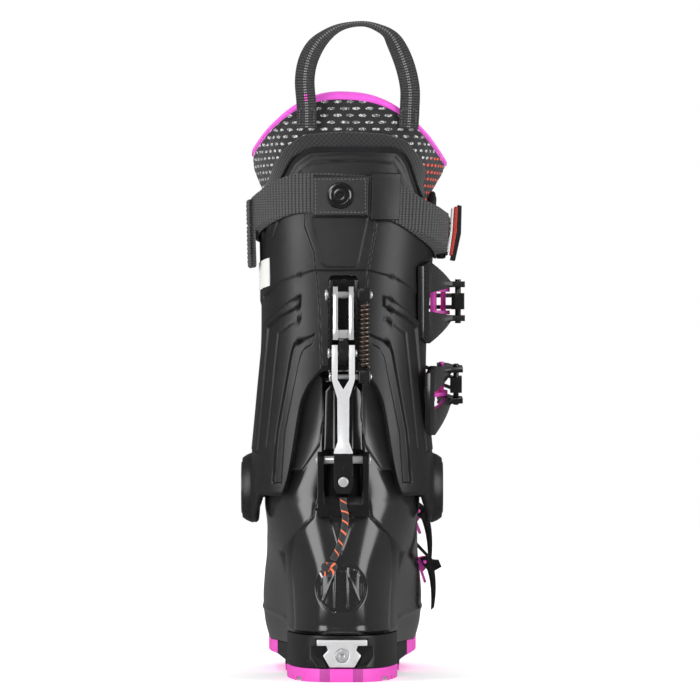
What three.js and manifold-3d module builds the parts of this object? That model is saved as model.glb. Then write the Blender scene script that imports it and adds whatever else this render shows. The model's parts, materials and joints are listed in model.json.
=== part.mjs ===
// Alpine touring boot, right foot: a hinged two-piece shell with four buckles, a rear ski/walk lever and a soft liner.
// Millimetres. +X is the lateral side, +Y points to the toe, +Z is up.
// The origin is the centre of the heel tread's flat face, on the ground.
import * as THREE from "three";
import { mergeVertices } from "three/addons/utils/BufferGeometryUtils.js";
import Module from "manifold-3d";

const wasm = await Module();
wasm.setup();

// ---- Driving dimensions ----
const PIVOT_Y = 22; // ankle axis, forward of the heel tread's centre
const PIVOT_Z = 116; // ankle axis above the ground
const FRONT_R = 66; // radius of the shell's instep collar about the ankle axis
const SHELL_WALL = 4.5;
const CUFF_WALL = 4;
const GAP = 0.4; // clearance between neighbouring pieces
const CUFF_BASE_Z = 92;
const CUFF_TOP_Z = 330;
const HEEL_HALF_WIDTH = 35;
const HEEL_REAR_Y = -40;
const TOE_Y = 243;
const SOLE_THICKNESS = 8;
const HEEL_BLOCK_TOP = 28;
const SECTION_POINTS = 36;

const COLOURS = {
  black: [0x1d1d1f, 0.5, 0],
  gloss: [0x131314, 0.2, 0],
  grey: [0x3a3a3d, 0.6, 0],
  pink: [0xd63bc4, 0.5, 0],
  steel: [0xc9cacc, 0.25, 1],
  dark_steel: [0x2a2a2c, 0.3, 1],
  rubber: [0x222222, 0.9, 0],
  fabric: [0x151515, 0.95, 0],
};

// ---- Solids ----
const materials = {};
function material(name) {
  const [color, roughness, metalness] = COLOURS[name];
  materials[name] ??= new THREE.MeshStandardMaterial({ color, roughness, metalness });
  return materials[name];
}

// A closed three.js geometry as a manifold solid, turned outwards if its faces point in.
function solid(geometry) {
  const bare = geometry.clone();
  for (const key of Object.keys(bare.attributes)) if (key !== "position") bare.deleteAttribute(key);
  const merged = mergeVertices(bare, 1e-3);
  const triVerts = new Uint32Array(merged.index.array);
  const vertProperties = merged.attributes.position.array;
  const made = new wasm.Manifold(new wasm.Mesh({ numProp: 3, vertProperties, triVerts }));
  if (made.volume() > 0) return made;
  for (let i = 0; i < triVerts.length; i += 3) {
    [triVerts[i + 1], triVerts[i + 2]] = [triVerts[i + 2], triVerts[i + 1]];
  }
  return new wasm.Manifold(new wasm.Mesh({ numProp: 3, vertProperties, triVerts }));
}

function geometryOf(made) {
  const mesh = made.getMesh();
  return new THREE.BufferGeometry()
    .setAttribute("position", new THREE.BufferAttribute(new Float32Array(mesh.vertProperties), 3))
    .setIndex(new THREE.BufferAttribute(new Uint32Array(mesh.triVerts), 1));
}

const boot = new THREE.Group();
function add(name, made, colour, parent = boot) {
  const mesh = new THREE.Mesh(made.isBufferGeometry ? made : geometryOf(made), material(colour));
  mesh.name = name;
  parent.add(mesh);
  return mesh;
}

const cut = (body, ...tools) => tools.reduce((left, tool) => left.subtract(tool), body);
const join = (...bodies) => bodies.reduce((whole, body) => whole.add(body));

// A box from its lowest corner to its highest.
function block(x0, x1, y0, y1, z0, z1) {
  const box = new THREE.BoxGeometry(x1 - x0, y1 - y0, z1 - z0);
  return solid(box.translate((x0 + x1) / 2, (y0 + y1) / 2, (z0 + z1) / 2));
}

// A cylinder along X, Y or Z, centred on a point.
function rod(axis, radius, length, x, y, z, sides = 20, endRadius = radius) {
  const made = new THREE.CylinderGeometry(endRadius, radius, length, sides);
  if (axis === "x") made.rotateZ(-Math.PI / 2);
  if (axis === "z") made.rotateX(Math.PI / 2);
  return solid(made.translate(x, y, z));
}

// A plate with an outline in one plane, extruded along the third axis from low to high.
// Plane "yz" extrudes along X, "xz" along Y and "xy" along Z.
function plate(plane, outline, low, high) {
  const shape = outline instanceof THREE.Shape ? outline : new THREE.Shape(
    outline.map(([a, b]) =>
      new THREE.Vector2(a, b)),
  );
  const made = new THREE.ExtrudeGeometry(
    shape,
    { depth: high - low, bevelEnabled: false, curveSegments: 8 },
  );
  made.translate(0, 0, low);
  if (plane === "yz") made.applyMatrix4(
    new THREE.Matrix4().set(0, 0, 1, 0, 1, 0, 0, 0, 0, 1, 0, 0, 0, 0, 0, 1),
  );
  if (plane === "xz") made.applyMatrix4(
    new THREE.Matrix4().set(1, 0, 0, 0, 0, 0, 1, 0, 0, 1, 0, 0, 0, 0, 0, 1),
  );
  return solid(made);
}

// A closed body through a stack of rings with the same number of points; each end is closed by a fan.
function loft(rings) {
  const n = rings[0].length;
  const points = rings.flat();
  const faces = [];
  for (let r = 0; r < rings.length - 1; r++)
    for (let i = 0; i < n; i++) {
      const [a, b] = [r * n + i, r * n + ((i + 1) % n)];
      faces.push(a, b, b + n, a, b + n, a + n);
    }
  for (const [r, turn] of [[0, 1], [rings.length - 1, 0]]) {
    const middle = rings[r].reduce((sum, p) => sum.add(p), new THREE.Vector3()).divideScalar(n);
    points.push(middle);
    for (let i = 0; i < n; i++) {
      const [a, b] = [r * n + i, r * n + ((i + 1) % n)];
      faces.push(...(turn ? [b, a, points.length - 1] : [a, b, points.length - 1]));
    }
  }
  const made = new THREE.BufferGeometry().setFromPoints(points);
  return solid(made.setIndex(faces));
}

// A tube of round section along a smooth curve through points.
function tube(points, radius, steps, sides = 8) {
  const section = new THREE.Shape();
  section.absarc(0, 0, radius, 0, Math.PI * 2);
  const extrudePath = new THREE.CatmullRomCurve3(
    points.map(([x, y, z]) => new THREE.Vector3(x, y, z)),
    false,
    "centripetal",
  );
  return solid(new THREE.ExtrudeGeometry(section, { extrudePath, steps, curveSegments: sides }));
}

// Straight-line interpolation in a table of [z, value, value, ...] rows.
function lookUp(rows, z) {
  let k = 1;
  while (k < rows.length - 1 && rows[k][0] < z) k++;
  const [low, high] = [rows[k - 1], rows[k]];
  const t = THREE.MathUtils.clamp((z - low[0]) / (high[0] - low[0]), 0, 1);
  return low.slice(1).map((value, i) => THREE.MathUtils.lerp(value, high[i + 1], t));
}

// A horizontal section: rounded at both ends, with a half width that changes from heel to ball.
function section({ rear, front, heel, ball, squareness, middle = 0 }, z, offset, height = z) {
  const centre = (rear + front) / 2;
  const half = (front - rear) / 2 + offset;
  return Array.from({ length: SECTION_POINTS }, (_, i) => {
    const turn = (2 * Math.PI * (i + 0.5)) / SECTION_POINTS;
    const along = -Math.sign(Math.cos(turn)) * Math.abs(Math.cos(turn)) ** (2 / squareness);
    const across = Math.sign(Math.sin(turn)) * Math.abs(Math.sin(turn)) ** (2 / squareness);
    const width = THREE.MathUtils.lerp(heel, ball, THREE.MathUtils.smoothstep(along, -0.6, 0.5)) + offset;
    return new THREE.Vector3(middle + across * width, centre + along * half, height);
  });
}

// ---- Lower shell: a foot-shaped clog with a slim heel hood and an instep collar round about the ankle axis ----
const collarFront = (z) => PIVOT_Y + Math.sqrt(FRONT_R ** 2 - (z - PIVOT_Z) ** 2);
// z, rear, front, half width at the heel, half width at the ball, squareness of the ends
const SHELL_ROWS = [
  [12, -36, 226, 31, 44, 2.5],
  [20, -39, 233, 34, 48, 2.6],
  [32, -42, 236, 36, 51, 2.6],
  [46, -44, 233, 37, 52, 2.5],
  [60, -45, 221, 38.5, 51, 2.4],
  [72, -44.5, 198, 41, 49, 2.4],
  [84, -43, 169, 44.5, 47.5, 2.4],
  [96, -41, 134, 46.5, 46, 2.4],
  [107, -39, 104, 48, 46.5, 2.4],
  [116, -38.5, collarFront(116), 48, 46.5, 2.3],
  [130, -38.5, collarFront(130), 45, 45.5, 2.15],
  [144, -37.5, collarFront(144), 41, 44.5, 2.05],
  [158, -35.5, collarFront(158), 37, 43, 2],
  [166, -35, collarFront(166), 35, 42, 2],
  [178, -35, 62, 33, 36, 2],
  [190, -34.5, 60, 31, 34, 2],
];
function shellSection(z, offset = 0, height = z) {
  const [rear, front, heel, ball, squareness] = lookUp(SHELL_ROWS, z);
  return section({ rear, front, heel, ball, squareness }, z, offset, height);
}
function shellBody(offset, from, to = 190) {
  const levels = [from, ...SHELL_ROWS.map((row) => row[0]).filter((z) => z > from + 2 && z < to - 2), to];
  return loft(levels.map((z) => shellSection(z, offset)));
}
const SHELL_RIM = [
  [-60, 187], [-24, 185], [-12, 168], [22, 150], [60, 147], [100, 140], [100, 210], [-60, 210],
];

const toeInsertPocket = block(-31.4, 31.4, 211.6, 226.4, 13.6, 26.4);
const heelBlockSpace = plate(
  "xy",
  [[-36.4, -60], [36.4, -60], [36.4, 26.4], [-36.4, 26.4]],
  0,
  HEEL_BLOCK_TOP + GAP,
);
const shellHollow = shellBody(-SHELL_WALL, 32, 195);
const shellPivotHoles = rod("x", 6.4, 140, 0, PIVOT_Y, PIVOT_Z);
const lower = cut(
  shellBody(0, 12),
  shellHollow,
  plate("yz", SHELL_RIM, -70, 70),
  toeInsertPocket,
  heelBlockSpace,
  shellPivotHoles,
);
add("lower_shell", lower, "gloss");

// The shell's lateral flap closes over the instep.
const FLAP_OUTLINE = [[-16, 78], [22, 78], [27, 130], [21, 176], [4, 192], [-12, 176]];
const flapRegion = plate("xy", FLAP_OUTLINE, 60, 116);
const instepFlap = cut(shellBody(3.2, 50, 112).intersect(flapRegion), shellBody(GAP, 40, 130));
add("instep_flap", largest(instepFlap), "gloss");
function largest(made) {
  return made.decompose().sort((a, b) => b.volume() - a.volume())[0];
}

// ---- Soles ----
const solePlan = (offset, low, high, squeeze = 1) =>
  loft(
    [low, high].map((z) =>
      section(
        { rear: HEEL_REAR_Y, front: TOE_Y, heel: HEEL_HALF_WIDTH, ball: 47 * squeeze, squareness: 3.2 },
        z,
        offset,
      )),
  );
const soleSlab = solePlan(0, -1, 28);
const heelTread = cut(
  soleSlab.intersect(block(-50, 50, -60, 27, 0, SOLE_THICKNESS)),
  block(-27.5, -24.5, -60, 30, -1, 2.5),
  block(24.5, 27.5, -60, 30, -1, 2.5),
  block(-50, 50, -6, -1, -1, 2.5),
);
add("heel_tread", heelTread, "pink");

const INSERT_X = 15.2;
const HEEL_INSERT = [
  [-INSERT_X, 25.5], [-INSERT_X, 22], [-9.5, 22], [-8.4, 19], [-11.5, 16], [-7.5, 9],
  [7.5, 9], [11.5, 16], [8.4, 19], [9.5, 22], [INSERT_X, 22], [INSERT_X, 25.5],
];
const insertPocket = join(
  block(-INSERT_X - 0.5, INSERT_X + 0.5, -60, HEEL_REAR_Y + 9.4, 21.5, 26),
  plate(
    "xz",
    [[-10, 23], [-9, 19], [-12.2, 16], [-8.2, 7], [8.2, 7], [12.2, 16], [9, 19], [10, 23]],
    -60,
    HEEL_REAR_Y + 9.4,
  ),
);
const windowsOf = (side) =>
  plate(
    "xz",
    [[9.5, 21.5], [29.5, 21.5], [29.5, 17], [20, 17], [14, 8.6], [9.5, 8.6]].map(([x, z]) => [side * x, z]),
    -60,
    HEEL_REAR_Y + 7,
  );
const sideWindow = (side) =>
  block(Math.min(side * 31.5, side * 50), Math.max(side * 31.5, side * 50), -60, -22, 15.5, 21.5);
const heelBlock = cut(
  soleSlab.intersect(block(-50, 50, -60, 26, SOLE_THICKNESS + 0.3, HEEL_BLOCK_TOP)),
  windowsOf(1),
  windowsOf(-1),
  sideWindow(1),
  sideWindow(-1),
  insertPocket,
);
add("heel_block", largest(heelBlock), "rubber");

const insertScrewHead = rod("y", 4, 2, 0, HEEL_REAR_Y + 1.4, 16, 24);
add(
  "heel_insert",
  cut(
    plate("xz", HEEL_INSERT, HEEL_REAR_Y + 0.2, HEEL_REAR_Y + 9),
    rod("y", 4.3, 6, 0, HEEL_REAR_Y, 16, 24),
  ),
  "steel",
);
add("heel_insert_screw", cut(insertScrewHead, rod("y", 1.6, 2, 0, HEEL_REAR_Y + 0.6, 16, 6)), "steel");

// The toe insert is a steel bar with a cone socket in each end for the binding's pins.
const TOE_INSERT_HALF = 31;
const toeBar = cut(
  block(-TOE_INSERT_HALF, TOE_INSERT_HALF, 212, 226, 14, 26),
  rod("x", 3.4, 5, -TOE_INSERT_HALF + 2.2, 219, 20, 16, 0.6),
  rod("x", 0.6, 5, TOE_INSERT_HALF - 2.2, 219, 20, 16, 3.4),
);
add("toe_insert", toeBar, "steel");

// The fore sole is one rubber moulding with a rocker; its top follows the shell's bottom.
const ROCKER = [[84, 1.2], [120, 0.4], [150, 1.4], [180, 4], [210, 8.4], [246, 15]];
const rockerTop = [[246, 40], [84, 40]];
const soleProfile = plate("yz", [...ROCKER, ...rockerTop], -60, 60);
const lugGrooves = [112, 132, 152, 172, 192, 212].map(
  (y) =>
    block(-60, 60, y, y + 4, -1, 2.4 + Math.max(0, (y - 120) / 9)),
);
// height, half width at the ball: the lugs stand in under a wider rand
const SOLE_SIDE = [[-1, 35.5], [8, 36.5], [11.5, 48.5], [26, 48.5]];
const foreSlab = loft(
  SOLE_SIDE.map(([z, ball]) =>
    section({ rear: HEEL_REAR_Y, front: TOE_Y, heel: HEEL_HALF_WIDTH, ball, squareness: 2.5 }, z, 0)),
);
const foreSole = cut(
  foreSlab.intersect(soleProfile).intersect(block(-60, 60, 84, 260, -1, 24)),
  shellBody(GAP, 12, 60),
  toeInsertPocket,
  ...lugGrooves,
);
add("fore_sole", largest(foreSole), "pink");

// The arch sole is a stiff bridge under the waist of the shell.
const archSole = cut(
  foreSlab.intersect(plate("yz", [[27.4, 5], [50, 6.5], [83.4, 5], [83.4, 24], [27.4, 24]], -60, 60)),
  shellBody(GAP, 12, 60),
);
add("arch_sole", largest(archSole), "rubber");

// Boot board: the flat floor that the liner stands on, inside the shell.
add(
  "boot_board",
  shellBody(-SHELL_WALL - 1, 32.4, 38).intersect(shellBody(-SHELL_WALL - 1, 30, 60)),
  "grey",
);

// ---- Cuff: leans forward and turns about the ankle axis ----
// z, rear, front, half width at the rear, half width at the front, middle of the section in X
const CUFF_ROWS = [
  [92, -38, 86, 55.5, 54, 0],
  [116, -41, 90, 57, 55, 0],
  [146, -43.5, 91, 54.5, 52, 0],
  [170, -44, 92, 52.5, 50, 0],
  [206, -42, 94, 51, 50, 1],
  [240, -36.5, 98, 52, 51, 2],
  [270, -31, 102, 54, 52, 3],
  [300, -25, 106, 55.5, 53, 3.5],
  [330, -19, 110, 57, 54, 4],
];
function cuffSection(z, offset = 0, height = z) {
  const [rear, front, heel, ball, middle] = lookUp(CUFF_ROWS, z);
  return section({ rear, front, heel, ball, squareness: 2.5, middle }, z, offset, height);
}
function cuffBody(offset, from, to) {
  const levels = [from, ...CUFF_ROWS.map((row) => row[0]).filter((z) => z > from + 2 && z < to - 2), to];
  return loft(levels.map((z) => cuffSection(z, offset)));
}
// Seen from the side: what is cut away above the rim and below the hem.
const CUFF_RIM = [
  [-60, 328], [-12, 326], [10, 304], [40, 284], [80, 262], [130, 250], [130, 360], [-60, 360],
];
const CUFF_HEM = [
  [130, 150], [84, 150], [62, 132], [46, 108], [34, 96], [22, 94], [8, 97], [-8, 106], [-14, 112],
  [-60, 112], [-60, 60], [130, 60],
];
// Seen from the rear: the arch that clears the heel hood.
const ARCH_SIDE = [[47, 80], [42, 98], [36, 112], [32, 126], [29, 147], [26, 166], [21, 177], [13, 187]];
const ARCH = [...ARCH_SIDE.map(([x, z]) => [-x, z]), ...ARCH_SIDE.toReversed()];
const SPOILER = [
  [-75, 270], [-47, 270], [-43, 288], [-37, 303], [-30, 316], [-20, 323], [34, 323], [40, 315], [45, 300],
  [50, 284], [53, 270], [75, 270], [75, 370], [-75, 370],
];
const CUFF_SLOT_Y = 60; // the front slot's rear edge, where the two wings part
const pivotHoles = rod("x", 6.4, 150, 0, PIVOT_Y, PIVOT_Z);
const MECH_X = 0.8; // the walk lever stands a little to the lateral side
const leverWindow = block(MECH_X - 9, MECH_X + 9, -60, 0, 186, 245);
const cuff = cut(
  cuffBody(0, CUFF_BASE_Z, CUFF_TOP_Z),
  cuffBody(-CUFF_WALL, CUFF_BASE_Z - 6, CUFF_TOP_Z + 6),
  plate("yz", CUFF_RIM, -90, 90),
  plate("yz", CUFF_HEM, -90, 90),
  plate("xz", ARCH, -80, 20),
  plate("xz", SPOILER, -80, 10),
  pivotHoles,
  leverWindow,
  block(-8, 8, CUFF_SLOT_Y, 140, 100, 300),
);
add("cuff", largest(cuff), "black");

// The lateral wing of the cuff closes over the front slot.
const wingRegion = plate(
  "xz",
  [[-20, 168], [24, 168], [26, 210], [24, 246], [-18, 246]],
  CUFF_SLOT_Y + 10,
  150,
);
const cuffWing = cut(cuffBody(3.2, 150, 270).intersect(wingRegion), cuffBody(GAP, 140, 280));
add("front_wing", largest(cuffWing), "black");

// ---- Ankle pivots: an outer disc and an inner nut on each side ----
for (const [side, name] of [[-1, "medial"], [1, "lateral"]]) {
  const face = 57.4; // the cuff's outer wall at the ankle axis
  const disc = join(
    rod("x", side < 0 ? 15.5 : 17, 4.2, side * (face + 2.1), PIVOT_Y, PIVOT_Z, 32, side < 0 ? 17 : 15.5),
    rod("x", 6, 13, side * (face - 5.5), PIVOT_Y, PIVOT_Z, 20),
  );
  const keyHoles = [0, 1, 2].map((k) => {
    const turn = (k * 2 * Math.PI) / 3;
    return rod(
      "x",
      1.5,
      3,
      side * (face + 4.2),
      PIVOT_Y + 8 * Math.cos(turn),
      PIVOT_Z + 8 * Math.sin(turn),
      8,
    );
  });
  add(`${name}_pivot_disc`, cut(disc, ...keyHoles), "dark_steel");
  add(
    `${name}_pivot_nut`,
    cut(
      rod("x", 11, 2.2, side * 39.6, PIVOT_Y, PIVOT_Z, 24),
      rod("x", 6.4, 8, side * 39.6, PIVOT_Y, PIVOT_Z),
    ),
    "steel",
  );
}

// ---- Ski/walk mechanism: a link hung in the cuff's window, a forked lever below it and a tension spring beside them ----
const LINK_PIN = { y: -50, z: 233 }; // the link turns about this pin, in the cuff
const LEVER_PIN = { y: -57, z: 198 }; // the lever turns about this pin, in the link
const SPRING_PIN_Z = 184; // the lever's own pin for the lower end of the spring
const SPRING_X = MECH_X + 12.6;
const SPRING_RADIUS = 3.4;
const BRACKET_PIN = { y: -47, z: 134, radius: 2.4 }; // the lever's foot closes behind this pin, on the shell
const LEVER_BACK = -53; // front face of the lever's foot, clear of the bracket pin
const X = (x) => MECH_X + x;

// The seat is a U channel fixed in the window; its cheeks carry the link pin.
const seat = cut(
  block(X(-8.6), X(8.6), -52.5, -40, 188, 242),
  block(X(-6.7), X(6.7), -60, -44, 180, 260),
  rod("x", 2.4, 40, X(0), LINK_PIN.y, LINK_PIN.z),
  rod("x", 7.2, 40, X(0), -60, LEVER_PIN.z, 24),
);
add(
  "lever_seat",
  cut(
    seat,
    cuffBody(GAP, 150, 260).subtract(leverWindow.intersect(block(X(-8.8), X(8.8), -60, 0, 186.4, 244))),
  ),
  "dark_steel",
);
add(
  "link_pin",
  join(
    rod("x", 2.1, 27.6, X(3.6), LINK_PIN.y, LINK_PIN.z),
    rod("x", 3.2, 1.6, X(-10.2), LINK_PIN.y, LINK_PIN.z),
  ),
  "steel",
);

const linkOutline = [
  [-53, 238], [-47.5, 238], [-46.8, 230], [-50.5, 206], [-60, 206], [-58.5, 212], [-55.5, 232],
];
const linkSide = (side) => plate("yz", linkOutline, X(side > 0 ? 3.3 : -6.2), X(side > 0 ? 6.2 : -3.3));
const link = cut(
  join(linkSide(1), linkSide(-1), block(X(-4), X(4), -58, -53.5, 207, 212)),
  rod("x", 2.3, 40, X(0), LINK_PIN.y, LINK_PIN.z),
  rod("x", 1.7, 40, X(0), -54, 210),
);
add("link_plates", link, "steel");
add("link_bolt", join(rod("x", 1.5, 12.6, X(0), -54, 210, 12)), "dark_steel");
const carrierOutline = [[-51, 205.4], [-58.6, 205.4], [-62, 200], [-62, 195], [-58, 191], [-52, 191]];
const carrier = cut(
  plate("yz", carrierOutline, X(-3), X(3)),
  rod("x", 2.3, 40, X(0), LEVER_PIN.y, LEVER_PIN.z),
);
add("link_carrier", join(carrier, block(X(-2.9), X(2.9), -58, -55, 204, 206.9)), "dark_steel");
add(
  "lever_pin",
  join(
    rod("x", 2.1, 16.5, X(0), LEVER_PIN.y, LEVER_PIN.z),
    rod("x", 3, 1.4, X(-8.6), LEVER_PIN.y, LEVER_PIN.z),
  ),
  "steel",
);

// The lever: two fork arms, a slim stem and a heavier foot.
const leverFront = [
  [-6.9, 203], [-3.4, 203], [-3.4, 182], [0, 176.5], [3.4, 182], [3.4, 203], [6.9, 203], [6.9, 182],
  [3.6, 171], [3.4, 145], [5.6, 139], [5.6, 118], [4, 114], [-4, 114], [-5.6, 118], [-5.6, 139], [-3.4, 145], [-3.6, 171], [-6.9, 182],
].map(([x, z]) => [X(x), z]);
const leverSide = [
  [-53.5, 203], [-60.5, 203], [-62, 198], [-61.5, 176], [-60, 160], [-62, 146], [-63.5, 138], [-62.5, 116], [-60, 113],
  [LEVER_BACK, 113], [LEVER_BACK, 140], [-56, 150], [-56.5, 165], [-55.5, 178], [-52.5, 190], [-52.5, 200],
];
const lever = cut(
  plate("xz", leverFront, -80, -40).intersect(plate("yz", leverSide, -20, 20)),
  rod("x", 2.4, 40, X(0), LEVER_PIN.y, LEVER_PIN.z),
  rod("x", 1.9, 40, X(0), LEVER_PIN.y, SPRING_PIN_Z),
  rod("y", 2.2, 6, X(0), -62, 121, 16),
);
add("walk_lever", lever, "steel");
add(
  "spring_pin",
  join(
    rod("x", 1.6, 25.2, X(4.5), LEVER_PIN.y, SPRING_PIN_Z, 14),
    rod("x", 2.8, 1.4, X(-7.8), LEVER_PIN.y, SPRING_PIN_Z),
  ),
  "steel",
);

// Spring ends: a block on each pin, and the coil between them.
function springEnd(name, y, z, pinRadius) {
  add(
    name,
    cut(
      block(SPRING_X - 3.6, SPRING_X + 3.6, y - 4, y + 4, z - 4, z + 4),
      rod("x", pinRadius + 0.25, 20, SPRING_X, y, z),
    ),
    "dark_steel",
  );
}
springEnd("spring_end_upper", LINK_PIN.y, LINK_PIN.z, 2.1);
springEnd("spring_end_lower", LEVER_PIN.y, SPRING_PIN_Z, 1.6);
const SPRING_TURNS = 14;
const coilStart = new THREE.Vector3(SPRING_X, LEVER_PIN.y + 0.6, SPRING_PIN_Z + 5.6);
const coilEnd = new THREE.Vector3(SPRING_X, LINK_PIN.y - 0.6, LINK_PIN.z - 5.6);
class Helix extends THREE.Curve {
  getPoint(t, target = new THREE.Vector3()) {
    const turn = t * SPRING_TURNS * 2 * Math.PI;
    const reach = SPRING_RADIUS - 0.7;
    return target.copy(coilStart).lerp(coilEnd, t).add(
      new THREE.Vector3(reach * Math.cos(turn), reach * Math.sin(turn), 0),
    );
  }
}
const WIRE_SIDES = 5;
const wire = new THREE.Shape(Array.from({ length: WIRE_SIDES }, (_, k) => {
  const turn = (2 * Math.PI * k) / WIRE_SIDES;
  return new THREE.Vector2(0.7 * Math.cos(turn), 0.7 * Math.sin(turn));
}));
add(
  "lever_spring",
  new THREE.ExtrudeGeometry(wire, { extrudePath: new Helix(), steps: SPRING_TURNS * 8 }),
  "steel",
);

// The heel bracket is riveted to the shell; its ears carry the bar that the lever's foot closes on.
const bracketOutline = [[-34, 138], [-46, 139], [-51.5, 136], [-51.5, 112], [-50, 100], [-34, 98]];
const heelBracket = cut(
  plate("yz", bracketOutline, X(-15.5), X(15.5)),
  block(X(-11.6), X(11.6), -70, -20, 112, 160),
  block(X(-9), X(9), -70, -49.4, 84, 103),
  block(X(-11.6), X(11.6), -70, -49.4, 107.5, 112.1),
  shellBody(GAP, 60),
  rod("x", BRACKET_PIN.radius + 0.2, 60, X(0), BRACKET_PIN.y, BRACKET_PIN.z),
);
add("heel_bracket", largest(heelBracket), "gloss");
add("bracket_bar", rod("x", BRACKET_PIN.radius, 33, X(0), BRACKET_PIN.y, BRACKET_PIN.z), "steel");

// The lever's screw eye, the pull cord and its knot.
add(
  "cord_screw",
  join(rod("y", 3, 1.6, X(0), -64.6, 121, 20), rod("y", 2, 4.5, X(0), -62, 121, 16)),
  "steel",
);
const CORD_RADIUS = 2.1;
const CORD_TOP = [X(0), -58, 111.5];
const CORD_ROUTE = [
  CORD_TOP, [X(0), -58.2, 107], [X(1.2), -59, 101], [X(0.9), -60, 95], [X(-0.6), -61, 88],
  [X(-3.4), -61.6, 80], [X(-6.2), -62.4, 74.6],
];
add("pull_cord", tube(CORD_ROUTE, CORD_RADIUS, 14, 3), "fabric");
const KNOT = new THREE.Vector3(X(-8.4), -62.8, 69.3);
add("cord_knot", new THREE.SphereGeometry(4.9, 12, 8).translate(KNOT.x, KNOT.y, KNOT.z), "fabric");

// ---- Buckles: each stands in its own frame, with X along the bail, Y out of the wall and Z along the lever's pin ----
// A frame from a point, the bail's direction and the wall's outward normal.
function frameAt(point, along, out, scale) {
  const x = new THREE.Vector3(...along).normalize();
  const z = x.clone().cross(new THREE.Vector3(...out)).normalize();
  const y = z.clone().cross(x);
  const group = new THREE.Group();
  group.applyMatrix4(
    new THREE.Matrix4().makeBasis(x, y, z).scale(
      new THREE.Vector3(scale, scale, scale),
    ).setPosition(...point),
  );
  boot.add(group);
  return group;
}
const LEVER_AXLE = { x: 6, y: 7.6 }; // the lever turns about this pin in the base's ears
const BARREL = { x: 0, y: 17 }; // the bail turns about this pin in the lever
const ARM_IN = 8.6;
const ARM_OUT = 12.2;

function buckleBase() {
  const ear = (low) =>
    plate("xy", [[-4, 0.6], [12, 0.6], [11.5, 8], [8.5, 11.6], [3.5, 11.6], [0.5, 8]], low, low + 2.4);
  const body = join(block(-13, 12, 0.6, 3.2, -8.2, 8.2), ear(5.8), ear(-8.2));
  const axle = join(
    rod("z", 1.6, 27, LEVER_AXLE.x, LEVER_AXLE.y, 0, 14),
    rod("z", 3, 1.4, LEVER_AXLE.x, LEVER_AXLE.y, 13.3, 14),
  );
  return join(body, axle);
}
function buckleLever(length, tipDrop, spread) {
  const top = new THREE.Shape();
  top.moveTo(11, 4.5);
  top.quadraticCurveTo(12, 12, 6, 14);
  top.lineTo(3, 21);
  top.lineTo(-3.5, 21.5);
  top.lineTo(-5, 14);
  top.quadraticCurveTo(-length * 0.55, 12 - tipDrop * 0.3, -length, -tipDrop + 4.5);
  top.lineTo(-length - 1.5, -tipDrop + 1);
  top.quadraticCurveTo(-length * 0.5, 8 - tipDrop * 0.3, -2, 7.5);
  top.lineTo(3, 5.5);
  const slab = plate("xy", top, -spread, spread);
  const plan = (outline, low, high) =>
    solid(
      new THREE.ExtrudeGeometry(
        new THREE.Shape(outline.map(([a, b]) => new THREE.Vector2(a, b))),
        { depth: high - low, bevelEnabled: false },
      ).translate(0, 0, low).rotateX(-Math.PI / 2),
    );
  const outer = [
    [14, -ARM_OUT], [14, ARM_OUT], [-10, ARM_OUT], [-length + 8, spread], [-length - 3, spread - 4],
    [-length - 3, -spread + 4], [-length + 8, -spread], [-10, -ARM_OUT],
  ];
  const window = [
    [20, -ARM_IN], [20, ARM_IN], [-13, ARM_IN], [-length + 7, ARM_IN - 3], [-length + 7, -ARM_IN + 3],
    [-13, -ARM_IN],
  ];
  return cut(
    slab.intersect(plan(outer, -40, 40)),
    plan(window, -50, 50),
    rod("z", 2.1, 60, BARREL.x, BARREL.y, 0, 14),
    rod("z", 2, 60, LEVER_AXLE.x, LEVER_AXLE.y, 0, 14),
  );
}

// The bail is a wire loop from the barrel to the ladder, given in the buckle's frame.
const HOOK_BAR = 3.6;
const WIRE = 1.3;
// A round bar from one point to another.
function strut(from, to, radius) {
  const run = to.clone().sub(from);
  const made = new THREE.CylinderGeometry(radius, radius, run.length() + radius, 8);
  made.applyQuaternion(
    new THREE.Quaternion().setFromUnitVectors(new THREE.Vector3(0, 1, 0), run.normalize()),
  );
  const middle = from.clone().add(to).multiplyScalar(0.5);
  return solid(made.translate(middle.x, middle.y, middle.z));
}
function bail(bends, across) {
  const barrel = join(
    rod("z", 1.8, 27, BARREL.x, BARREL.y, 0, 14),
    block(-3.8, 3.8, BARREL.y - 3.8, BARREL.y + 3.8, -5, 5),
  );
  const path = [new THREE.Vector3(BARREL.x, BARREL.y, 0), ...bends];
  const widths = [new THREE.Vector3(0, 0, 1), ...bends.map(() => across)];
  const at = (k, side) => path[k].clone().addScaledVector(widths[k], side);
  const wires = [HOOK_BAR, -HOOK_BAR].flatMap(
    (side) =>
      bends.map((_, k) => strut(at(k, side), at(k + 1, side), WIRE)),
  );
  const last = bends.length;
  return join(barrel, ...wires, strut(at(last, -HOOK_BAR - 1), at(last, HOOK_BAR + 1), WIRE));
}

// The ladder is a toothed strip on the wall; the hook bar lies in front of one tooth.
const LADDER_PITCH = 8;
function ladder(name, point, along, out, scale) {
  const tooth = (k) =>
    plate(
      "xy",
      [
        [k * LADDER_PITCH, 2.2], [k * LADDER_PITCH + 1.6, 6], [k * LADDER_PITCH + 3.4, 6],
        [k * LADDER_PITCH + 4.6, 2.2],
      ],
      -1.9,
      1.9,
    );
  const made = join(block(-7, 31, 0.4, 2.6, -6.2, 6.2), tooth(0), tooth(1), tooth(2));
  add(name, geometryOf(made), "black", frameAt(point, along, out, scale));
}

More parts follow.
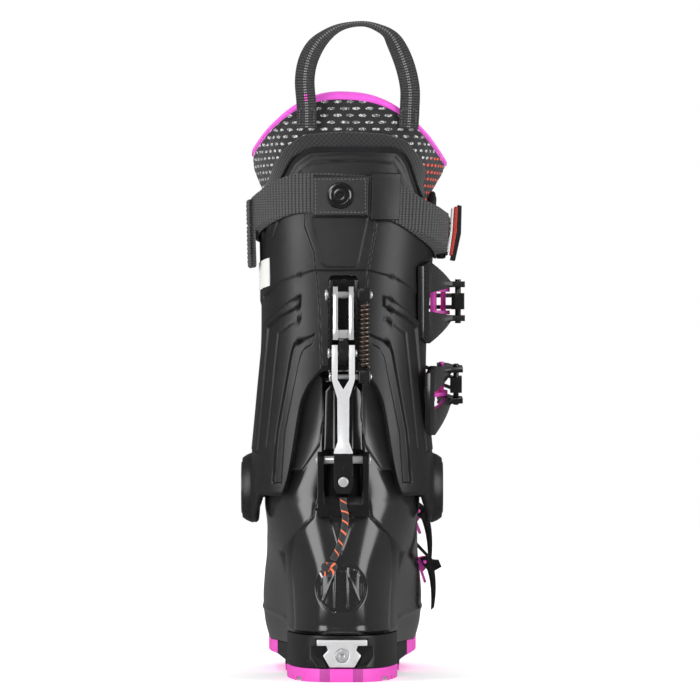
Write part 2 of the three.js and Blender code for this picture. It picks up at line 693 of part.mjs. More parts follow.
const v = (...p) => new THREE.Vector3(...p);
const BUCKLES = [
  {
    name: "upper_cuff",
    at: [54.2, 44, 230], along: [0.07, 1, 0.02], out: [1, -0.07, 0], scale: 1, length: 60, drop: 5,
    spread: 25, rack: [41.6, 84, 231], rackAlong: [-0.8, 0.6, 0], rackOut: [0.6, 0.79, -0.12],
  },
  {
    name: "lower_cuff",
    at: [53.9, 38, 179], along: [0, 1, 0.22], out: [1, 0, 0], scale: 0.94, length: 56, drop: 5,
    spread: 23, rack: [38.9, 82.2, 188.5], rackAlong: [-0.82, 0.57, 0.14],
    rackOut: [0.57, 0.82, -0.06],
  },
  {
    name: "instep",
    at: [43.8, 92, 94], along: [-0.36, 0, 0.93], out: [0.93, 0, 0.36], scale: 0.72, length: 38,
    drop: 2, spread: 15, rack: [28.8, 92.4, 110.2], rackAlong: [-0.94, 0.06, 0.28],
    rackOut: [0.3, 0.46, 0.83],
  },
  {
    name: "forefoot",
    at: [48.4, 150, 61], along: [-0.33, 0, 1], out: [1, 0, 0.33], scale: 0.66, length: 38, drop: 2,
    spread: 15, rack: [25.9, 149.9, 89.8], rackAlong: [-0.97, 0.05, 0.18],
    rackOut: [0.19, 0.33, 0.93],
  },
];
for (const b of BUCKLES) {
  const group = frameAt(b.at, b.along, b.out, b.scale);
  add(`${b.name}_buckle_base`, geometryOf(buckleBase()), "pink", group);
  add(`${b.name}_buckle_lever`, geometryOf(buckleLever(b.length, b.drop, b.spread)), "grey", group);
  ladder(`${b.name}_ladder`, b.rack, b.rackAlong, b.rackOut, b.scale);
  const outward = v(...b.rackOut).normalize();
  const forward = v(...b.rackAlong).normalize();
  const hook = v(...b.rack).addScaledVector(outward, 4.4 * b.scale).addScaledVector(
    forward,
    (LADDER_PITCH + 6.2) * b.scale,
  );
  group.updateMatrixWorld(true);
  const knee = v(...b.rack).addScaledVector(outward, 6 * b.scale).addScaledVector(forward, -9 * b.scale);
  const bends = [knee, hook].map((point) => group.worldToLocal(point));
  const across = forward.clone().cross(outward).normalize().transformDirection(
    group.matrixWorld.clone().invert(),
  );
  add(`${b.name}_bail`, geometryOf(bail(bends, across)), "steel", group);
}

// ---- Liner: a soft inner boot in two parts, with its footbed, tongue and bound edge ----
const LINER_GAP = CUFF_WALL + 0.6;
const LINER_WALL = 7;
// Above the cuff the liner flares; the columns are those of the cuff's table.
const LINER_ROWS = [
  [301, -20.4, 108, 49.8, 55, 3.6],
  [316, -16.5, 111, 52, 61.5, 4.5],
  [332, -12.5, 113, 54, 61.5, 4.5],
  [346, -9, 114, 54, 60, 4.5],
  [362, -6, 115, 53, 58, 4.5],
];
function linerBody(offset) {
  const low = [140, 170, 206, 240, 270, 291].map((z) => cuffSection(z, offset - LINER_GAP));
  const high = LINER_ROWS.map(
    ([z, rear, front, heel, ball, middle]) =>
      section({ rear, front, heel, ball, squareness: 2.5, middle }, z, offset),
  );
  return loft([...low, ...high]);
}
// Height of the liner's top edge, seen from the rear, less a distance.
const topEdge = (x, less) => 357 - 32 * (Math.abs(x - 4) / 58) ** 2.4 - 0.05 * (x - 4) - less;
const edgeX = Array.from({ length: 21 }, (_, k) => -72 + k * 7.4);
const underEdge = (less) =>
  plate("xz", [[-72, 100], [76, 100], ...edgeX.toReversed().map((x) => [x, topEdge(x, less)])], -60, 150);
const BINDING_HEIGHT = 6.5;
const throat = plate("xz", [[-9, 200], [9, 200], [19, 380], [-19, 380]], 60, 150);
const belowRim = plate(
  "yz",
  [[-80, 100], [-80, 188.5], [-23, 186.5], [-11, 169.5], [22, 151.5], [60, 148.5], [140, 141], [140, 100]],
  -90,
  90,
);
const leg = linerBody(-LINER_WALL);
const frontTop = (less) =>
  plate("yz", [[34, 420], [34, 338 - less], [62, 324 - less], [150, 327 - less], [150, 420]], -90, 90);
add(
  "liner_cuff",
  largest(
    cut(
      linerBody(0).intersect(underEdge(BINDING_HEIGHT + 0.3)),
      leg,
      throat,
      belowRim,
      frontTop(BINDING_HEIGHT + 0.3),
    ),
  ),
  "fabric",
);
const bindingRing = cut(linerBody(0.8), linerBody(-LINER_WALL - 0.8), throat).intersect(
  cut(underEdge(0).subtract(frontTop(0)), underEdge(BINDING_HEIGHT).subtract(frontTop(BINDING_HEIGHT))),
);
add("liner_binding", largest(bindingRing), "pink");

const tongueSlab = cut(linerBody(-LINER_WALL - 1.2), linerBody(-LINER_WALL - 7)).intersect(underEdge(6));
add(
  "liner_tongue",
  largest(cut(tongueSlab.intersect(block(-24, 28, 66, 150, 158, 380)), belowRim)),
  "fabric",
);

const SHELL_LINER = -SHELL_WALL - 0.7;
const innerSole = 42.4;
const nutPockets = [-1, 1].map((side) => rod("x", 11.6, 12, side * 44.2, PIVOT_Y, PIVOT_Z, 24));
const aboveRim = plate("yz", SHELL_RIM.map(([y, z]) => [y, z - 1.2]), -70, 70);
add(
  "liner_foot",
  largest(
    cut(shellBody(SHELL_LINER, 38.4), shellBody(SHELL_LINER - 4, innerSole, 196), aboveRim, ...nutPockets),
  ),
  "fabric",
);
add(
  "footbed",
  shellBody(
    SHELL_LINER - 4.6,
    innerSole + 0.4,
    innerSole + 3.6,
  ).intersect(shellBody(SHELL_LINER - 4.6, 40, 60)),
  "grey",
);

const feltOutline = [
  [-50, 292], [-41, 314], [-34, 324], [-24, 330.5], [2, 332.5], [26, 331], [40, 327], [49, 315], [57, 292],
  [49, 292], [46, 301], [41, 315.6], [34.6, 323.8], [-20.4, 323.8], [-30.8, 316.8], [-38, 303.4], [-43, 292],
];
add(
  "felt_collar",
  largest(cut(linerBody(2.4), linerBody(0.4)).intersect(plate("xz", feltOutline, -60, 9.4))),
  "fabric",
);

// ---- Pull loop: flat webbing that twists from its sewn ends to the top of the arch ----
const LOOP = [
  [-21.4, -13.5, 334.5], [-21.6, -13.5, 348], [-22.6, -14, 364], [-20, -14, 377], [-13.5, -13, 387.5], [-2, -12, 395.5],
  [11.7, -11, 398], [22, -10.5, 395.5], [30, -10, 389.8], [37, -9, 376], [41, -8.2, 360], [41, -6.8, 346], [40.4, -6.8, 334.5],
];
const LOOP_HALF = [6, 0.8]; // half the webbing's width and thickness
function webbing(points, outward) {
  const curve = new THREE.CatmullRomCurve3(points.map((p) => new THREE.Vector3(...p)));
  const steps = 48;
  return loft(Array.from({ length: steps + 1 }, (_, k) => {
    const middle = curve.getPointAt(k / steps);
    const run = curve.getTangentAt(k / steps);
    const face = outward(k / steps);
    const wide = run.clone().cross(face).normalize();
    const out = wide.clone().cross(run);
    return [[1, 1], [-1, 1], [-1, -1], [1, -1]].map(
      ([a, b]) =>
        middle.clone().addScaledVector(wide, a * LOOP_HALF[0]).addScaledVector(out, b * LOOP_HALF[1]),
    );
  }));
}
const archTurn = (t) => (0.42 * Math.PI) * Math.sin(Math.PI * THREE.MathUtils.smoothstep(t, 0.1, 0.9));
add(
  "pull_loop",
  webbing(LOOP, (t) => new THREE.Vector3(0, -Math.cos(archTurn(t)), Math.sin(archTurn(t)))),
  "fabric",
);

// ---- Power strap: a webbing ring round the top of the cuff, with the fittings it carries ----
const sheared = new THREE.Matrix4().makeShear(0, -0.08, 0, 0, 0, 0);
const band = (low, high) =>
  plate(
    "yz",
    [[-60, low + 7.4], [140, low - 38.6], [140, high - 38.6], [-60, high + 7.4]],
    -100,
    100,
  ).transform([...sheared.elements]);
const wrap = (inner, outer) => cut(cuffBody(outer, 236, 329), cuffBody(inner, 230, 334));
add("power_strap", largest(wrap(1, 3).intersect(band(280.5, 305.5))), "fabric");
add(
  "strap_patch",
  wrap(3.4, 4.8).intersect(band(281, 305)).intersect(block(-17.6, 15.7, -60, 0, 270, 320)),
  "black",
);
add(
  "strap_keeper",
  wrap(3.4, 5).intersect(band(279, 307)).intersect(block(18, 35, -60, 10, 260, 320)),
  "fabric",
);
add("strap_tab", wrap(3.4, 6.8).intersect(block(-80, -40, 4, 30, 250, 294)), "fabric");
add("strap_buckle", wrap(3.4, 8.4).intersect(block(50, 80, 18, 40, 256, 284)), "black");
export default boot;
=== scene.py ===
"""Alpine touring boot, right foot: shells, ski/walk mechanism, buckles, webbing and liner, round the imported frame."""

import json

import bpy
import numpy as np
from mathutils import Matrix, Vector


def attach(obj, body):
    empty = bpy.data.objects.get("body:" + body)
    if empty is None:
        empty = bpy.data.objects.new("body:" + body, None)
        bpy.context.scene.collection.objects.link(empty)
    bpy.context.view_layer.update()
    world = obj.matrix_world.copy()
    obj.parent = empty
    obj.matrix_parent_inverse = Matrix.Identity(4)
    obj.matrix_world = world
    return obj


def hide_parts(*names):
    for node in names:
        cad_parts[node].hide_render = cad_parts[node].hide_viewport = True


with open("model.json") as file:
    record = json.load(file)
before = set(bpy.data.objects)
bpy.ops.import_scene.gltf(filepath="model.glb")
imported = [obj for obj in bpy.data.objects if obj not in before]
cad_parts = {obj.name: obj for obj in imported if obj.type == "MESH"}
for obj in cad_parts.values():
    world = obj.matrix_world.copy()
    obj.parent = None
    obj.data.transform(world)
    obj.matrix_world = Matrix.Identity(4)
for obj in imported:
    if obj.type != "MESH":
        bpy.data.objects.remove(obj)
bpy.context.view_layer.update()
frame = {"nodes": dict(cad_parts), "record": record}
nodes = frame["nodes"]
body_of_node = {n: b for b, members in frame["record"]["behaviour"]["bodies"].items() for n in members}
MM = 0.001

# ---- Stage ----
# A white floor before white, and a long lens level with the middle of the boot, directly behind its heel. Two tall soft
# boxes at the sides draw the long highlights, one stands in front, and a large panel overhead only lights.
scene = bpy.context.scene
scene.view_settings.view_transform = "Standard"
CAMERA_DISTANCE = 3.8
VIEW_WIDTH = 0.42
camera = bpy.data.objects.new("camera", bpy.data.cameras.new("camera"))
scene.collection.objects.link(camera)
camera.data.sensor_width = 36
camera.data.lens = 36 * (CAMERA_DISTANCE - 0.05) / VIEW_WIDTH
camera.location = (0.0048, -CAMERA_DISTANCE, 0.2)
camera.rotation_euler = (np.pi / 2, 0, 0)
camera.data.clip_end = 50
scene.camera = camera


def mesh_object(name, points, faces, uv=None, smooth=True):
    """A mesh object from an (n, 3) array of points in metres and a list of faces, with UVs given per point."""
    mesh = bpy.data.meshes.new(name)
    mesh.from_pydata(np.asarray(points, float).tolist(), [], [list(map(int, f)) for f in faces])
    mesh.polygons.foreach_set("use_smooth", np.full(len(mesh.polygons), smooth))
    if uv is not None:
        layer = mesh.uv_layers.new(name="UVMap")
        corner = np.empty(len(mesh.loops), int)
        mesh.loops.foreach_get("vertex_index", corner)
        layer.data.foreach_set("uv", np.asarray(uv, np.float32)[corner].ravel())
    mesh.validate()
    made = bpy.data.objects.new(name, mesh)
    scene.collection.objects.link(made)
    return made


paper = bpy.data.materials.new("paper_white")
paper.use_nodes = True
paper.node_tree.nodes["Principled BSDF"].inputs["Base Color"].default_value = (0.93, 0.93, 0.93, 1)
paper.node_tree.nodes["Principled BSDF"].inputs["Roughness"].default_value = 0.9
paper.node_tree.nodes["Principled BSDF"].inputs["Specular IOR Level"].default_value = 0.1
paper.node_tree.nodes["Principled BSDF"].inputs["Emission Color"].default_value = (1, 1, 1, 1)
paper.node_tree.nodes["Principled BSDF"].inputs["Emission Strength"].default_value = 0.22
floor = mesh_object("studio_floor", [[-2, -1.6, 0], [2, -1.6, 0], [2, 3.2, 0], [-2, 3.2, 0]], [(0, 1, 2, 3)])
floor.data.materials.append(paper)
floor.visible_glossy = False

world = bpy.data.worlds.new("studio")
world.use_nodes = True
world.node_tree.nodes["Background"].inputs["Color"].default_value = (1, 1, 1, 1)
seen_directly = world.node_tree.nodes.new("ShaderNodeLightPath").outputs["Is Camera Ray"]
level = world.node_tree.nodes.new("ShaderNodeMapRange")
level.inputs["To Min"].default_value = 0.16
world.node_tree.links.new(seen_directly, level.inputs["Value"])
world.node_tree.links.new(level.outputs["Result"], world.node_tree.nodes["Background"].inputs["Strength"])
scene.world = world


def soft_box(name, place, aim, size, watts, mirrored=True):
    """A rectangular area light that faces a point; glossy faces mirror it unless it only lights the stage."""
    light = bpy.data.lights.new(name, "AREA")
    light.shape, light.size, light.size_y, light.energy = "RECTANGLE", size[0], size[1], watts
    made = bpy.data.objects.new(name, light)
    made.location = place
    made.rotation_euler = (Vector(aim) - Vector(place)).to_track_quat("-Z", "Y").to_euler()
    made.visible_glossy = mirrored
    scene.collection.objects.link(made)


soft_box("left_box", (-1.5, -0.9, 0.45), (0, 0, 0.2), (0.95, 1.4), 26)
soft_box("right_box", (1.5, -0.9, 0.45), (0, 0, 0.2), (0.95, 1.4), 24)
soft_box("front_box", (-0.5, -2.6, 1.5), (0, 0, 0.2), (0.7, 0.5), 9)
soft_box("top_panel", (0, 1.2, 3.2), (0, 0.9, 0), (5.5, 5.5), 180, mirrored=False)


# ---- Finishes that more than one piece shares ----
def group(name, inputs, outputs):
    """An empty shader group with named sockets; returns the tree and its input and output nodes."""
    tree = bpy.data.node_groups.new(name, "ShaderNodeTree")
    for label, kind, value in inputs:
        socket = tree.interface.new_socket(label, in_out="INPUT", socket_type=kind)
        if value is not None:
            socket.default_value = value
    for label, kind in outputs:
        tree.interface.new_socket(label, in_out="OUTPUT", socket_type=kind)
    return tree, tree.nodes.new("NodeGroupInput"), tree.nodes.new("NodeGroupOutput")


def feed(tree, socket, value):
    """Puts a number, a colour or another node's output into an input."""
    if isinstance(value, bpy.types.NodeSocket):
        tree.links.new(value, socket)
    else:
        socket.default_value = (*value, 1) if isinstance(value, tuple) else value


def noise(tree, vector, scale, detail=4):
    """A noise texture on a vector, with its scale from a number or a socket."""
    made = tree.nodes.new("ShaderNodeTexNoise")
    tree.links.new(vector, made.inputs["Vector"])
    feed(tree, made.inputs["Scale"], scale)
    made.inputs["Detail"].default_value = detail
    return made.outputs["Fac"]


def math(tree, kind, *values):
    """A math node; each value is a number or a socket."""
    made = tree.nodes.new("ShaderNodeMath")
    made.operation = kind
    for k, value in enumerate(values):
        feed(tree, made.inputs[k], value)
    return made.outputs[0]


def blend_colour(tree, fac, a, b):
    """A mix of two colours; each is a tuple or a socket."""
    made = tree.nodes.new("ShaderNodeMix")
    made.data_type = "RGBA"
    for k, value in ((0, fac), (6, a), (7, b)):
        feed(tree, made.inputs[k], value)
    return made.outputs[2]


def bump(tree, height, strength, distance):
    """The normal of a surface that a height socket raises; the distance is in metres."""
    made = tree.nodes.new("ShaderNodeBump")
    made.inputs["Distance"].default_value = distance
    feed(tree, made.inputs["Strength"], strength)
    tree.links.new(height, made.inputs["Height"])
    return made.outputs["Normal"]


def axes(tree, vector):
    """The first two parts of a vector."""
    split = tree.nodes.new("ShaderNodeSeparateXYZ")
    tree.links.new(vector, split.inputs[0])
    return split.outputs["X"], split.outputs["Y"]


def object_place(tree):
    """The point's own place on its piece."""
    return tree.nodes.new("ShaderNodeTexCoord").outputs["Object"]


def uv_place(tree):
    """The point's place on its piece's UV map."""
    made = tree.nodes.new("ShaderNodeUVMap")
    made.uv_map = "UVMap"
    return made.outputs["UV"]


def place_group(tree, which, values):
    """A shader group placed in a material with its named inputs fed; returns its outputs."""
    node = tree.nodes.new("ShaderNodeGroup")
    node.node_tree = which
    for label, value in values.items():
        feed(tree, node.inputs[label], value)
    return node.outputs


def moulded_group():
    """Moulded plastic or metal: a fine grain in the normal, and a slow drift in colour and roughness from handling."""
    tree, take, give = group(
        "moulded",
        [("Colour", "NodeSocketColor", None), ("Worn", "NodeSocketColor", None), ("Roughness", "NodeSocketFloat", 0.5),
         ("Drift", "NodeSocketFloat", 0.08), ("Grain", "NodeSocketFloat", 2500), ("Depth", "NodeSocketFloat", 0.15)],
        [("Colour", "NodeSocketColor"), ("Roughness", "NodeSocketFloat"), ("Normal", "NodeSocketVector")],
    )
    place = object_place(tree)
    slow = noise(tree, place, 38, 5)
    scuffs = math(tree, "POWER", noise(tree, place, 260, 6), 5.0)
    patch = math(tree, "MULTIPLY_ADD", scuffs, 2.2, math(tree, "MULTIPLY", slow, 0.35))
    tree.links.new(
        blend_colour(tree, math(tree, "MINIMUM", patch, 1), take.outputs["Colour"], take.outputs["Worn"]),
        give.inputs["Colour"]
    )
    spread = math(tree, "MULTIPLY", math(tree, "SUBTRACT", slow, 0.5), take.outputs["Drift"])
    tree.links.new(
        math(tree, "ADD", math(tree, "MULTIPLY", spread, 4), take.outputs["Roughness"]), give.inputs["Roughness"]
    )
    grain = noise(tree, place, take.outputs["Grain"], 2)
    tree.links.new(bump(tree, grain, take.outputs["Depth"], 0.0002), give.inputs["Normal"])
    return tree


MOULDED = moulded_group()


def new_material(name):
    """An empty Principled material: its tree and its shader."""
    made = bpy.data.materials.new(name)
    made.use_nodes = True
    return made, made.node_tree, made.node_tree.nodes["Principled BSDF"]


def moulded(name, colour, worn, roughness, drift=0.06, grain=2500, depth=0.15, metallic=0.0, coat=0.0, specular=0.5):
    """A material of the moulded group with its own colour, grain and gloss."""
    made, tree, shader = new_material(name)
    values = {"Colour": colour, "Worn": worn, "Roughness": roughness, "Drift": drift, "Grain": grain, "Depth": depth}
    outputs = place_group(tree, MOULDED, values)
    for label, socket in (("Colour", "Base Color"), ("Roughness", "Roughness"), ("Normal", "Normal")):
        tree.links.new(outputs[label], shader.inputs[socket])
    shader.inputs["Metallic"].default_value = metallic
    shader.inputs["Coat Weight"].default_value = coat
    shader.inputs["Coat Roughness"].default_value = 0.08
    shader.inputs["Specular IOR Level"].default_value = specular
    return made


satin_black = moulded(
    "satin_black_plastic", (0.008, 0.008, 0.009), (0.016, 0.016, 0.017), 0.42, 0.05, 3200, 0.3, specular=0.42
)
gloss_black = moulded(
    "gloss_black_plastic", (0.005, 0.005, 0.0055), (0.01, 0.01, 0.011), 0.2, 0.03, 600, 0.03, coat=0.3
)
panel_grey = moulded("dark_grey_plastic", (0.02, 0.02, 0.021), (0.03, 0.03, 0.031), 0.4, 0.04, 1800, 0.1)
pink_plastic = moulded("pink_plastic", (0.78, 0.06, 0.5), (0.86, 0.12, 0.6), 0.4, 0.05, 2600, 0.2)
bright_steel = moulded("polished_steel", (0.85, 0.85, 0.86), (0.7, 0.7, 0.71), 0.18, 0.04, 1400, 0.04, metallic=0.7)
cast_alloy = moulded("satin_alloy", (0.82, 0.82, 0.83), (0.66, 0.66, 0.67), 0.34, 0.05, 2200, 0.3, metallic=0.45)
black_metal = moulded("black_anodised", (0.01, 0.01, 0.011), (0.03, 0.03, 0.031), 0.22, 0.04, 1600, 0.05, metallic=0.3)
spring_wire = moulded("bronze_spring", (0.2, 0.15, 0.12), (0.16, 0.13, 0.11), 0.36, 0.06, 1800, 0.1, metallic=0.9)
sole_rubber = moulded("sole_rubber", (0.012, 0.012, 0.013), (0.025, 0.025, 0.026), 0.62, 0.06, 1600, 0.5)


def sit(piece, body, material=None, stands_for=()):
    """Puts a finished piece on its body, with its material, slot and the CAD nodes it stands for."""
    if material is not None:
        piece.data.materials.clear()
        piece.data.materials.append(material)
    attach(piece, body)
    if stands_for:
        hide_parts(*stands_for)
    return piece


def apply_modifiers(piece):
    """The piece's mesh with its modifiers worked in."""
    seen = piece.evaluated_get(bpy.context.evaluated_depsgraph_get())
    mesh = bpy.data.meshes.new_from_object(seen)
    piece.modifiers.clear()
    piece.data = mesh
    return piece


def refine(node, material, bevel=0.3, angle=30):
    """A copy of a CAD node with its corners merged and rounded, which stands for that node."""
    mesh = nodes[node].data.copy()
    piece = bpy.data.objects.new(f"{node}_fine", mesh)
    scene.collection.objects.link(piece)
    weld = piece.modifiers.new("weld", "WELD")
    weld.merge_threshold = 2e-6
    flat = piece.modifiers.new("flat", "DECIMATE")
    flat.decimate_type, flat.angle_limit = "DISSOLVE", np.radians(0.6)
    if bevel:
        round_off = piece.modifiers.new("round", "BEVEL")
        round_off.width, round_off.segments, round_off.limit_method = bevel * MM, 2, "ANGLE"
        round_off.angle_limit = np.radians(angle)
        round_off.harden_normals = False
        round_off.use_clamp_overlap = True
    apply_modifiers(piece)
    piece.data.shade_smooth()
    piece.data.set_sharp_from_angle(angle=np.radians(38))
    return sit(piece, body_of_node[node], material, [node])

# ---- Pull cord ----
# A short braided cord, 4.2 mm thick, hangs from the screw eye at the foot of the walk lever.
# It is black with orange flecks, and ends in an overhand knot with a sealed tip.
MECH_X = 0.8
CORD_DIAMETER = 0.0042
CORD_ROUTE = np.array([
    [MECH_X, -58, 111.5], [MECH_X, -58.2, 107], [
        MECH_X + 1.2, -59, 101
    ], [MECH_X + 0.9, -60, 95], [MECH_X - 0.6, -61, 88],
    [MECH_X - 3.4, -61.6, 80], [MECH_X - 6.2, -62.4, 74.6],
]) * MM


def smooth_path(points, count, closed=False):
    """Catmull-Rom spline through the points, then respaced to equal steps along its length."""
    p = np.asarray(points, float)
    around = np.vstack([p[-1], p, p[0], p[1]]) if closed else np.vstack([2 * p[0] - p[1], p, 2 * p[-1] - p[-2]])
    t = np.linspace(0, 1, 24, endpoint=False)[:, None]
    a, b, c, d = around[:-3, None], around[1:-2, None], around[2:-1, None], around[3:, None]
    fine = 0.5 * (2 * b + (c - a) * t + (2 * a - 5 * b + 4 * c - d) * t**2 + (3 * b - a - 3 * c + d) * t**3)
    fine = fine.reshape(-1, 3)
    fine = np.vstack([fine, p[0] if closed else p[-1]])
    run = np.concatenate([[0], np.cumsum(np.linalg.norm(np.diff(fine, axis=0), axis=1))])
    at = np.linspace(0, run[-1], count + 1 if closed else count)
    even = np.stack([np.interp(at, run, fine[:, k]) for k in range(3)], 1)
    return (even[:-1] if closed else even), run[-1]


def frames_along(path, closed=False):
    """Tangents, and two normals that turn as little as they can from one point to the next."""
    ahead = np.roll(path, -1, 0) - np.roll(path, 1, 0) if closed else np.gradient(path, axis=0)
    tangent = ahead / np.linalg.norm(ahead, axis=1)[:, None]
    side = np.cross(tangent[0], [0.3, 0.9, 0.2])
    sides = []
    for t in tangent:
        side = side - t * side.dot(t)
        side = side / np.linalg.norm(side)
        sides.append(side)
    sides = np.array(sides)
    return tangent, sides, np.cross(tangent, sides)


def grid_faces(rows, columns, wrap_rows=False, wrap_columns=True):
    """Quads of a grid of points in row order."""
    r = np.arange(rows if wrap_rows else rows - 1)[:, None]
    c = np.arange(columns if wrap_columns else columns - 1)[None]
    r2, c2 = (r + 1) % rows, (c + 1) % columns
    quads = np.stack(np.broadcast_arrays(r * columns + c, r * columns + c2, r2 * columns + c2, r2 * columns + c), -1)
    return quads.reshape(-1, 4)


def braided_tube(name, path, radius, sides=20, closed=False, relief=0.07):
    """A round tube on a path. Two crossed helices raise and lower its radius, as a braid; UVs are turns and lengths."""
    _, n1, n2 = frames_along(path, closed)
    turn = np.linspace(0, 2 * np.pi, sides, endpoint=False)
    step = np.linalg.norm(np.diff(path, axis=0), axis=1).mean()
    along = np.arange(len(path)) * step
    braid = np.abs(np.sin(4 * turn[None] + along[:, None] * 1500)) * np.abs(np.sin(4 * turn[None] - along[
        :, None
    ] * 1500))
    reach = radius * (1 - relief + relief * braid)
    ring = n1[:, None] * np.cos(turn)[None, :, None] + n2[:, None] * np.sin(turn)[None, :, None]
    points = (path[:, None] + ring * reach[..., None]).reshape(-1, 3)
    uv = np.stack(np.broadcast_arrays(turn[None] / (2 * np.pi), along[:, None]), -1).reshape(-1, 2)
    faces = grid_faces(len(path), sides, wrap_rows=closed).tolist()
    if not closed:
        points = np.vstack([points, path[0], path[-1]])
        uv = np.vstack([uv, [0, 0], [0, along[-1]]])
        last = (len(path) - 1) * sides
        faces += [(len(points) - 2, (k + 1) % sides, k) for k in range(sides)]
        faces += [(len(points) - 1, last + k, last + (k + 1) % sides) for k in range(sides)]
    return mesh_object(name, points, faces, uv)


def cord_material():
    """Black braid with short orange flecks that run round it in a spiral, read from the tube's own UVs."""
    made, tree, shader = new_material("flecked_cord")
    around, along = axes(tree, uv_place(tree))
    spiral = math(tree, "FRACT", math(tree, "ADD", around, math(tree, "MULTIPLY", along, 155.0)))
    lane = math(tree, "GREATER_THAN", math(tree, "PINGPONG", spiral, 0.5), 0.385)
    dash = math(
        tree, "GREATER_THAN",
        math(
            tree, "FRACT",
            math(tree, "ADD", math(tree, "MULTIPLY", along, 480.0), math(tree, "MULTIPLY", around, 3.0))
        ),
        0.5
    )
    fleck = math(tree, "MULTIPLY", lane, dash)
    place = object_place(tree)
    black = blend_colour(tree, noise(tree, place, 2500), (0.006, 0.006, 0.007), (0.035, 0.035, 0.038))
    tree.links.new(blend_colour(tree, fleck, black, (0.85, 0.16, 0.05)), shader.inputs["Base Color"])
    tree.links.new(bump(tree, noise(tree, place, 4200, 3), 0.5, 0.0003), shader.inputs["Normal"])
    shader.inputs["Roughness"].default_value = 0.75
    shader.inputs["Sheen Weight"].default_value = 0.2
    return made


flecked_cord = cord_material()
cord_path, cord_length = smooth_path(CORD_ROUTE, 180)
pull_cord = braided_tube("pull_cord_braid", cord_path, CORD_DIAMETER / 2)
sit(pull_cord, "cord", flecked_cord, ["pull_cord"])

# The overhand knot is a trefoil drawn up small; its free end shows below it, melted to a pale bead.
KNOT = np.array([MECH_X - 8.4, -62.8, 69.3]) * MM
turn = np.linspace(0, 2 * np.pi, 200, endpoint=False)
trefoil = np.stack(
    [np.sin(turn) + 2 * np.sin(2 * turn), 0.85 * np.sin(3 * turn), np.cos(turn) - 2 * np.cos(2 * turn)], 1
)
knot_path, _ = smooth_path(KNOT + trefoil * [1.15 * MM, 1.5 * MM, 1.0 * MM], 220, closed=True)
knot = braided_tube("cord_knot_braid", knot_path, 0.00185, closed=True)
sit(knot, "cord", flecked_cord, ["cord_knot"])
tail_path, _ = smooth_path(
    [KNOT + np.array(p) * MM for p in ((-1, -1, -1), (-2.6, -0.8, -2.6), (-4.4, -0.4, -3.6))], 24
)
tail = braided_tube("cord_tail", tail_path, 0.0017)
sit(tail, "cord", flecked_cord)
melted = moulded("melted_cord_end", (0.75, 0.72, 0.7), (0.5, 0.4, 0.36), 0.35, 0.05, 900, 0.3)
bead_path, _ = smooth_path(
    [tail_path[-1] + np.array(p) * MM for p in ((0.1, 0, 0.05), (-0.5, 0, -0.3), (-0.9, 0, -0.5))], 6
)
bead = braided_tube("cord_tip", bead_path, 0.0018, sides=16, relief=0.15)
sit(bead, "cord", melted)

# ---- Steel, alloy and hard plastic fittings ----
# Turned pins, stamped link plates, the forged lever, inserts, buckles and sole blocks; a small round breaks every edge.
# The lever and the link plates are black, with their faces towards the heel in bright metal. The treads are pink
# rubber.
def tread_material():
    """Pink rubber with rows of small dimples, and two darker strips along the foot, from the piece's own place."""
    made, tree, shader = new_material("tread_pink")
    place = object_place(tree)
    across, _ = axes(tree, place)
    strip = math(tree, "COMPARE", math(tree, "ABSOLUTE", math(tree, "ADD", across, 0.0004)), 0.01, 0.0031)
    outputs = place_group(tree, MOULDED, {
        "Colour": blend_colour(tree, strip, (0.8, 0.08, 0.53), (0.46, 0.04, 0.31)),
        "Worn": blend_colour(tree, strip, (0.72, 0.06, 0.46), (0.4, 0.03, 0.26)),
    })
    dots = tree.nodes.new("ShaderNodeTexVoronoi")
    dots.inputs["Scale"].default_value = 900
    dots.inputs["Randomness"].default_value = 0.1
    tree.links.new(place, dots.inputs["Vector"])
    tree.links.new(bump(tree, dots.outputs["Distance"], 0.5, 0.0003), shader.inputs["Normal"])
    tree.links.new(outputs["Colour"], shader.inputs["Base Color"])
    shader.inputs["Roughness"].default_value = 0.55
    return made


